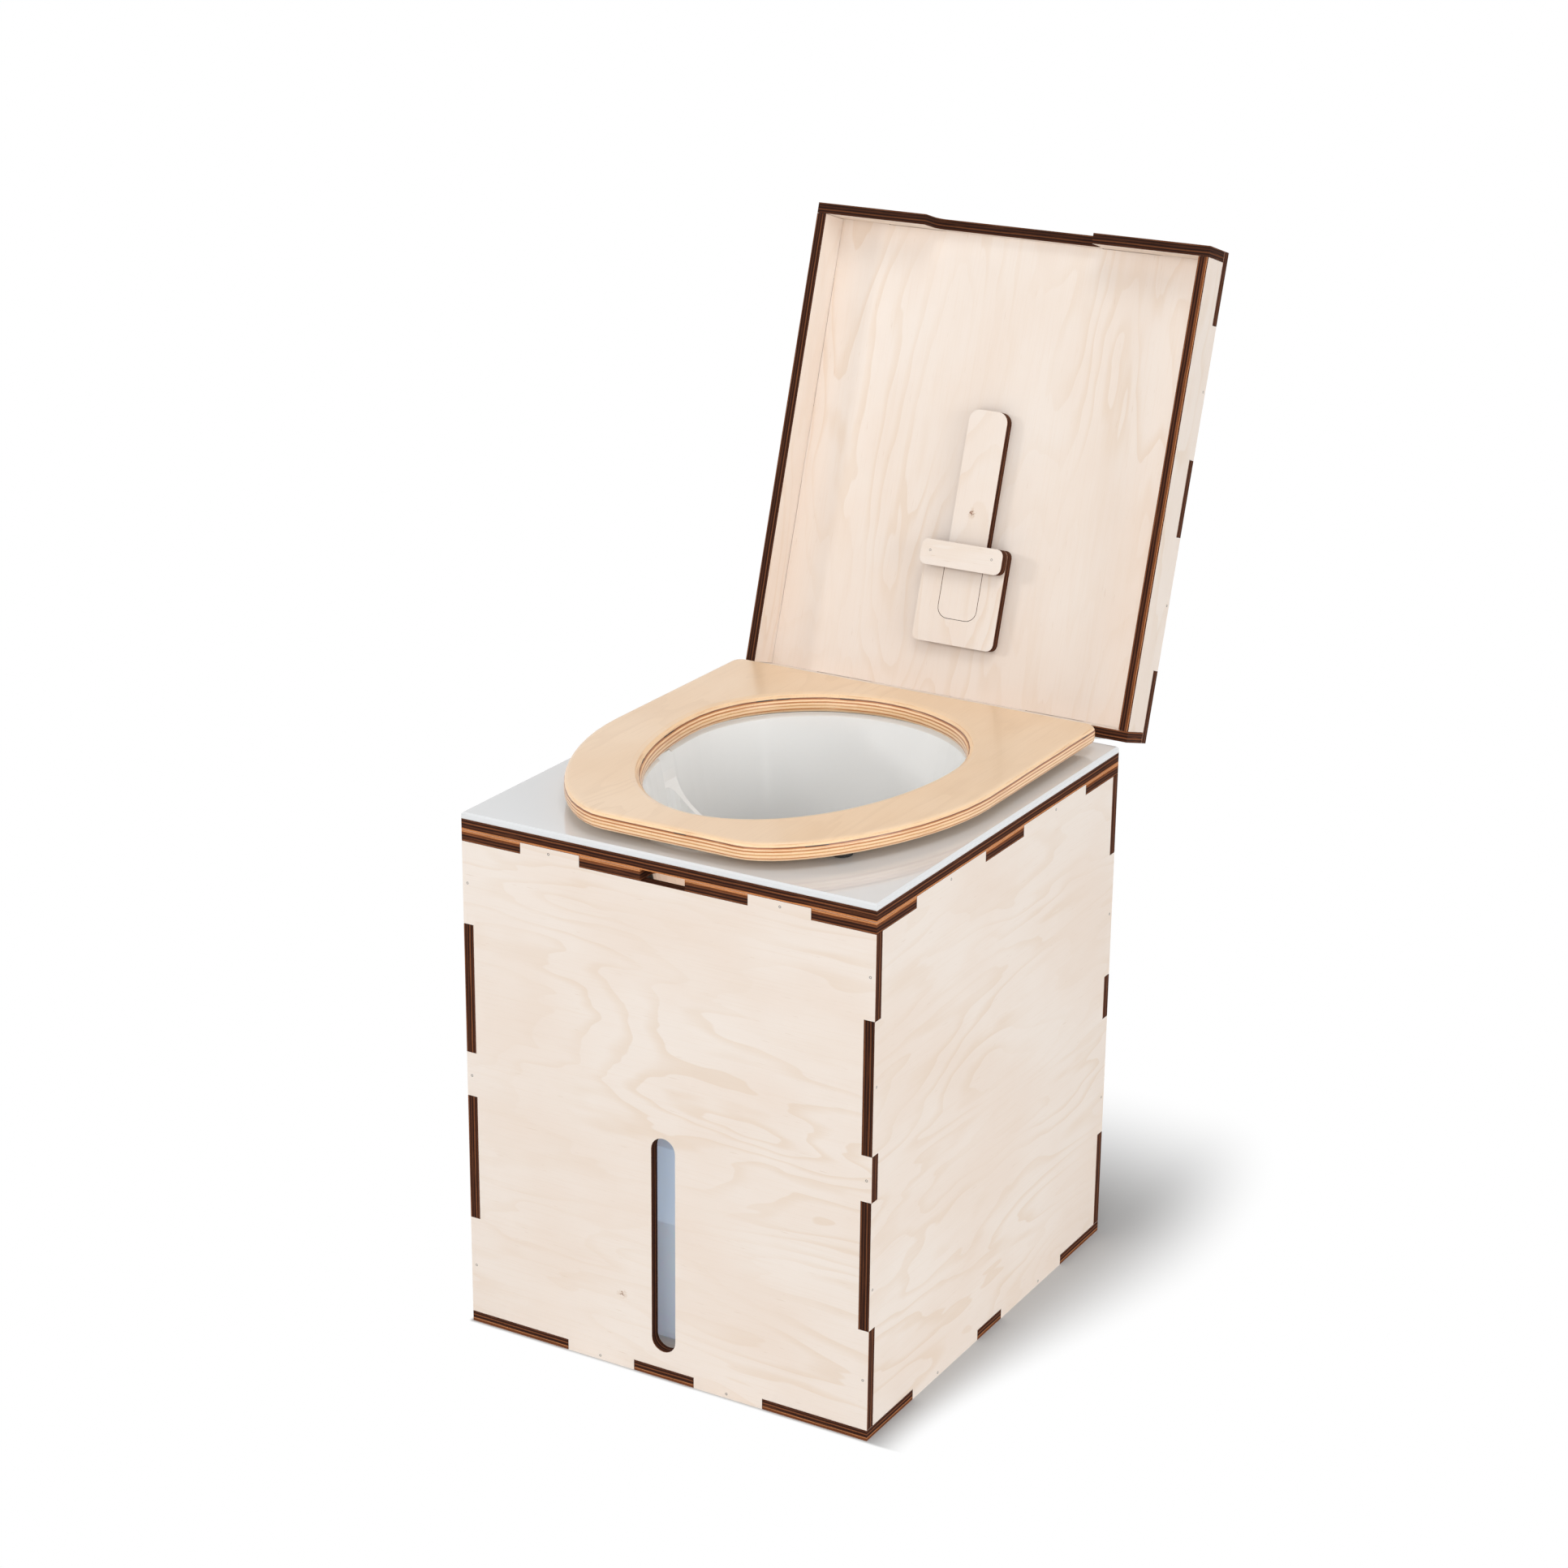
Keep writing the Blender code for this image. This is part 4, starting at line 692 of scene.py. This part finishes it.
def add_screw(bm, place, direction, radius, rise, tilt):
    """Pan head with a cross recess."""
    rings = (
        (radius * 0.9, 0.0), (radius, rise * 0.25), (radius * 0.97, rise * 0.55),
        (radius * 0.82, rise * 0.85), (radius * 0.62, rise), (radius * 0.48, rise),
        (radius * 0.30, rise), (radius * 0.12, rise))
    add_disc(bm, place, direction, rings, SCREW_STEPS, tilt, has_cross=True)


def opened(point):
    """Where a point given with the lid shut lies with the lid open."""
    return HINGE_LINE + LID_TURN @ (Vector(point) - HINGE_LINE)


def opened_direction(direction):
    return LID_TURN @ Vector(direction)


# Materials on the frame's nodes

def dress(node, material):
    held = frame["nodes"][node]
    for slot in held.material_slots:
        slot.material = material


def dress_plywood(boards):
    """Each board: node, normal, grain, a point on its lower face, seed, and the plies that glow."""
    for node, normal, grain, origin, seed, glow in boards:
        dress(node, plywood(node, normal, grain, origin, seed, glow))


def dress_boards():
    """The case's boards and the seat board, which lie square to the axes."""
    low, high = (Vector(corner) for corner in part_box("bottom_panel"))
    dress_plywood((
        ("front_panel", (0, 1, 0), (1, 0, 0), low, 1.3, NO_GLOW),
        ("back_panel", (0, 1, 0), (1, 0, 0), high - Vector((0, PLY, 0)), 2.1, NO_GLOW),
        ("left_panel", (1, 0, 0), (0, 1, 0), low, 3.7, NO_GLOW),
        ("right_panel", (1, 0, 0), (0, 1, 0), high - Vector((PLY, 0, 0)), 4.2, NO_GLOW),
        ("bottom_panel", (0, 0, 1), (1, 0, 0), low, 5.6, (0.15, 0.25)),
        ("top_frame", (0, 0, 1), (1, 0, 0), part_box("top_frame")[0], 6.4, (0.70, 1.0)),
        ("seat_board", (0, 0, 1), (0, 1, 0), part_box("seat_board")[0], 7.9, (0.0, 0.20)),
    ))


def dress_lid():
    """The lid's boards have their planes turned with it."""
    up = opened_direction((0, 0, 1))
    along = opened_direction((0, 1, 0))
    across = Vector((1, 0, 0))
    dress_plywood((
        ("lid_panel", up, along, opened((0, 0, LID_TOP - PLY)), 8.3, NO_GLOW),
        ("lid_front_wall", along, across, opened((0, -HALF_DEPTH, 0)), 9.1, NO_GLOW),
        ("lid_back_wall", along, across, opened((0, HALF_DEPTH - PLY, 0)), 10.7, NO_GLOW),
        ("lid_left_wall", across, along, Vector((-HALF_WIDTH, 0, 0)), 11.2, NO_GLOW),
        ("lid_right_wall", across, along, Vector((HALF_WIDTH - PLY, 0, 0)), 12.8, (0.70, 0.80)),
        ("holder_plate", up, along, opened((0, 0, HOLDER_LOW)), 13.5, NO_GLOW),
        ("holder_tongue", up, along, opened((0, 0, HOLDER_LOW)), 14.9, NO_GLOW),
        ("holder_bridge", up, across, opened((0, 0, BRIDGE_LOW)), 15.4, NO_GLOW),
    ))


def dress_fittings(steel):
    """Everything that is not a board."""
    # The canister's emission, through, is a painted glow
    milky = milky_plastic("milky_plastic", linear(205, 217, 228), linear(220, 229, 237), through=0.19)
    grey = moulded_plastic("bucket_grey", linear(196, 199, 201), linear(206, 208, 210), roughness=0.42)
    rubber = moulded_plastic("buffer_rubber", linear(28, 28, 28), linear(44, 43, 42), roughness=0.72)
    dress("seat_ring", seat_wood(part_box("seat_ring")[0][2]))
    dress("cover_plate", plate_white())
    dress("separator_insert", insert_white())
    dress("urine_canister", milky)
    dress("solids_bucket", grey)
    for node in frame["nodes"]:
        if node.startswith("seat_buffer"):
            dress(node, rubber)
        if "hinge" in node:
            dress(node, steel)


# Nails and screws

def case_nails():
    """Place and direction of each nail in the case's front and back, then in its sides."""
    low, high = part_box("bottom_panel")
    edge = PLY / 2
    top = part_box("top_frame")[1][2] - edge
    front_places = [(x, top) for x in NAIL_TOP_X]
    front_places += [(x, NAIL_FOOT_Z) for x in NAIL_FOOT_X]
    front_places += [(x, z) for z in NAIL_CORNER_Z for x in (low[0] + edge, high[0] - edge)]
    side_places = [(y, z) for y in NAIL_SIDE_Y for z in (top, NAIL_FOOT_Z)]
    side_places += [(y, z) for z in NAIL_SIDE_Z for y in (low[1] + edge, high[1] - edge)]
    for face, sign in ((low[1], -1), (high[1], 1)):
        for x, z in front_places:
            yield (x, face, z), (0, sign, 0)
    for face, sign in ((low[0], -1), (high[0], 1)):
        for y, z in side_places:
            yield (face, y, z), (sign, 0, 0)


def lid_nails():
    """Nails through the shut lid's walls into its panel, and through front and back into the sides."""
    edge = PLY / 2
    high = LID_TOP - edge
    middle = (LID_TOP + LID_RIM) / 2 - edge
    for sign in (-1, 1):
        for x in NAIL_TOP_X:
            yield (x, sign * HALF_DEPTH, high), (0, sign, 0)
        for x in (-HALF_WIDTH + edge, HALF_WIDTH - edge):
            yield (x, sign * HALF_DEPTH, middle), (0, sign, 0)
        for y in NAIL_SIDE_Y:
            yield (sign * HALF_WIDTH, y, high), (sign, 0, 0)


def build_case_nails(steel):
    bm = bmesh.new()
    tilt = 0.0
    for place, direction in case_nails():
        tilt += CASE_NAIL_TURN
        add_nail(bm, place, direction, tilt)
    add_piece("case_nails", bm, steel, "case")


def build_lid_nails(steel):
    walls, bridge = bmesh.new(), bmesh.new()
    tilt = 0.3
    for place, direction in lid_nails():
        tilt += LID_NAIL_TURN
        add_nail(walls, opened(place), opened_direction(direction), tilt)
    for x in BRIDGE_NAIL_X:
        tilt += LID_NAIL_TURN
        place = opened((x, HALF_DEPTH - BRIDGE_NAIL_FROM_BACK, BRIDGE_LOW))
        add_nail(bridge, place, opened_direction((0, 0, -1)), tilt)
    add_piece("lid_nails", walls, steel, "lid")
    add_piece("bridge_nails", bridge, steel, "lid")


def build_screws(steel):
    """Screws of the four hinges' leaves, and one under each of the seat's buffers."""
    case, lid, board = bmesh.new(), bmesh.new(), bmesh.new()
    face = HINGE_LINE.y + LEAF_OUTER
    back = Vector((0, 1, 0))
    tilt = 0.2
    for side, end in ((-1, -1), (-1, 1), (1, -1), (1, 1)):
        tilt += SCREW_TURN
        board_x, lid_x = side * BOARD_HINGE_X, side * LID_HINGE_X
        place = (board_x + end * LEAF_SCREW_SPREAD, face, HINGE_LINE.z + CASE_LEAF_MIDDLE)
        add_screw(case, place, back, SCREW_RADIUS, SCREW_RISE, tilt)
        place = (board_x + end * BOARD_SCREW_SPREAD, face, HINGE_LINE.z + BOARD_LEAF_MIDDLE)
        add_screw(board, place, back, SCREW_RADIUS, SCREW_RISE, tilt)
        place = (lid_x + end * FOOT_SCREW_SPREAD, face, HINGE_LINE.z + BOARD_LEAF_FOOT)
        add_screw(board, place, back, FOOT_SCREW_RADIUS, FOOT_SCREW_RISE, tilt)
        place = opened((lid_x + end * LEAF_SCREW_SPREAD, face, HINGE_LINE.z + LID_LEAF_MIDDLE))
        add_screw(lid, place, opened_direction(back), SCREW_RADIUS, SCREW_RISE, tilt)
    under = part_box("seat_board")[0][2]
    for node in frame["nodes"]:
        if node.startswith("seat_buffer"):
            tilt += SCREW_TURN
            low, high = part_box(node)
            place = ((low[0] + high[0]) / 2, (low[1] + high[1]) / 2, under)
            add_screw(board, place, (0, 0, -1), SEAT_SCREW_RADIUS, SEAT_SCREW_RISE, tilt)
    add_piece("case_hinge_screws", case, steel, "case")
    add_piece("lid_hinge_screws", lid, steel, "lid")
    add_piece("seat_unit_screws", board, steel, "seat_unit")


# Blank label on the canister

def label_outline():
    """The label's rounded rectangle, as (x, z) points."""
    corners = (
        (LABEL_HALF_WIDTH, LABEL_LOW), (LABEL_HALF_WIDTH, LABEL_HIGH),
        (-LABEL_HALF_WIDTH, LABEL_HIGH), (-LABEL_HALF_WIDTH, LABEL_LOW))
    points = []
    for quarter, (x, z) in enumerate(corners):
        middle_x = x - math.copysign(LABEL_CORNER, x)
        middle_z = z + (LABEL_CORNER if z == LABEL_LOW else -LABEL_CORNER)
        for step in range(LABEL_CORNER_STEPS + 1):
            angle = math.radians(-90 + 90 * quarter + 90 * step / LABEL_CORNER_STEPS)
            across, up = LABEL_CORNER * math.cos(angle), LABEL_CORNER * math.sin(angle)
            points.append((middle_x + across, middle_z + up))
    return points


def build_label():
    """Bare film just before the canister's front, behind the window."""
    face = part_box("urine_canister")[0][1] - LABEL_THICKNESS
    points = label_outline()
    bm = bmesh.new()
    front = [bm.verts.new((x, face - LABEL_THICKNESS, z)) for x, z in points]
    back = [bm.verts.new((x, face, z)) for x, z in points]
    bm.faces.new(front)
    bm.faces.new(back)
    for index in range(len(points)):
        after = (index + 1) % len(points)
        bm.faces.new((front[index], front[after], back[after], back[index]))
    # The film carries the same kind of painted glow, of strength through
    film = milky_plastic("label_film", linear(222, 228, 236), linear(232, 236, 242), through=0.22)
    add_piece("blank_label", bm, film, "case")


# Stage

def background_share(graph):
    """One for rays from the camera, a mirror surface or glass."""
    path = graph.add("ShaderNodeLightPath")
    both = graph.math("ADD", path.outputs["Is Camera Ray"], path.outputs["Is Glossy Ray"], clamp=True)
    return graph.math("ADD", both, path.outputs["Is Transmission Ray"], clamp=True)


def shadow_fade(graph):
    """Zero beside the case, where painted shade deepens its real shadow, rising to one where that has faded
    out.
    """
    place = graph.place()
    depth = graph.dot(place, (0, 1, 0))
    right_reach = graph.remap(depth, -HALF_DEPTH, HALF_DEPTH, SHADOW_RIGHT_NEAR, SHADOW_FAR)
    left_reach = graph.remap(depth, -HALF_DEPTH, HALF_DEPTH, SHADOW_LEFT_NEAR, SHADOW_FAR)
    shares = []
    for axis, half, low_reach, high_reach in (
            ((1, 0, 0), HALF_WIDTH, left_reach, right_reach),
            ((0, 1, 0), HALF_DEPTH, SHADOW_FRONT, SHADOW_BACK)):
        along = graph.dot(place, axis)
        above = graph.math("DIVIDE", graph.math("SUBTRACT", along, half), high_reach)
        below = graph.math("DIVIDE", graph.math("SUBTRACT", -half, along), low_reach)
        shares.append(graph.math("MAXIMUM", graph.math("MAXIMUM", above, below), 0.0))
    return graph.remap(graph.length(graph.combine(shares[0], shares[1], 0.0)), 0.0, 1.0)


def floor_paper():
    """White paper that keeps the case's shadow near it, deepened there by painted shade, and is plain white
    past where that fades.
    """
    graph = MaterialGraph("floor_paper")
    seen = background_share(graph)
    # The camera sees the floor darker than the light it throws back: painted shade near the case
    graph.finish(
        Base_Color=graph.mix(seen, FLOOR_BOUNCE, FLOOR_PAINTED_SHADE), Roughness=1.0, Specular_IOR_Level=0.0)
    glow = graph.add("ShaderNodeEmission")
    glow.inputs["Color"].default_value = WHITE
    graph.feed(glow.inputs["Strength"], graph.math("MULTIPLY", seen, FLOOR_LIFT))
    lit = graph.add("ShaderNodeAddShader")
    graph.feed(lit.inputs[0], graph.shader.outputs[0])
    graph.feed(lit.inputs[1], glow.outputs[0])
    plain = graph.add("ShaderNodeEmission")
    plain.inputs["Color"].default_value = WHITE
    blend = graph.add("ShaderNodeMixShader")
    graph.feed(blend.inputs[0], graph.math("MULTIPLY", shadow_fade(graph), seen))
    graph.feed(blend.inputs[1], lit.outputs[0])
    graph.feed(blend.inputs[2], plain.outputs[0])
    graph.feed(graph.output.inputs["Surface"], blend.outputs[0])
    return graph.material


def build_floor():
    bm = bmesh.new()
    bmesh.ops.create_grid(bm, x_segments=8, y_segments=8, size=FLOOR_REACH)
    mesh = bpy.data.meshes.new("floor")
    bm.to_mesh(mesh)
    bm.free()
    mesh.materials.append(floor_paper())
    floor = bpy.data.objects.new("floor", mesh)
    bpy.context.collection.objects.link(floor)


def build_world():
    """Faint even light that the camera and mirror surfaces see as plain white."""
    world = bpy.data.worlds.new("studio")
    world.use_nodes = True
    bpy.context.scene.world = world
    graph = Graph(world.node_tree)
    shade = graph.tree.nodes["Background"]
    shade.inputs["Color"].default_value = WHITE
    strength = graph.remap(background_share(graph), 0.0, 1.0, to_low=WORLD_LIGHT, to_high=1.0)
    graph.feed(shade.inputs["Strength"], strength)


def build_lights():
    """Softboxes round the object, each aimed at its middle."""
    for name, azimuth, elevation, size, power in SOFTBOXES:
        lamp = bpy.data.lights.new(name, "AREA")
        lamp.shape = "SQUARE"
        lamp.size = size
        lamp.energy = power
        box = bpy.data.objects.new(name, lamp)
        bpy.context.collection.objects.link(box)
        side, rise = math.radians(azimuth), math.radians(elevation)
        way = Vector((math.sin(side) * math.cos(rise), -math.cos(side) * math.cos(rise), math.sin(rise)))
        box.location = LIGHT_TARGET + way * LIGHT_DISTANCE
        box.rotation_euler = (-way).to_track_quat("-Z", "Y").to_euler()


def build_camera():
    camera = bpy.data.cameras.new("camera")
    camera.lens = CAMERA_LENS
    camera.sensor_width = CAMERA_SENSOR
    camera.clip_end = CAMERA_REACH
    holder = bpy.data.objects.new("camera", camera)
    bpy.context.collection.objects.link(holder)
    turn = Matrix.Rotation(math.radians(CAMERA_YAW), 4, "Z")
    tip = Matrix.Rotation(math.radians(90 - CAMERA_PITCH), 4, "X")
    roll = Matrix.Rotation(math.radians(CAMERA_ROLL), 4, "Z")
    holder.matrix_world = Matrix.Translation(CAMERA_PLACE) @ turn @ tip @ roll
    bpy.context.scene.camera = holder


def build_stage():
    bpy.context.scene.view_settings.view_transform = "Standard"
    build_floor()
    build_world()
    build_lights()
    build_camera()


def main():
    hinge_steel = plated_steel("hinge_steel", linear(186, 187, 186), linear(206, 206, 203), roughness=0.34)
    nail_steel = plated_steel("nail_steel", linear(120, 118, 116), linear(158, 155, 150), roughness=0.42)
    dress_boards()
    dress_lid()
    dress_fittings(hinge_steel)
    build_case_nails(nail_steel)
    build_lid_nails(nail_steel)
    build_screws(hinge_steel)
    build_label()
    build_stage()


main()
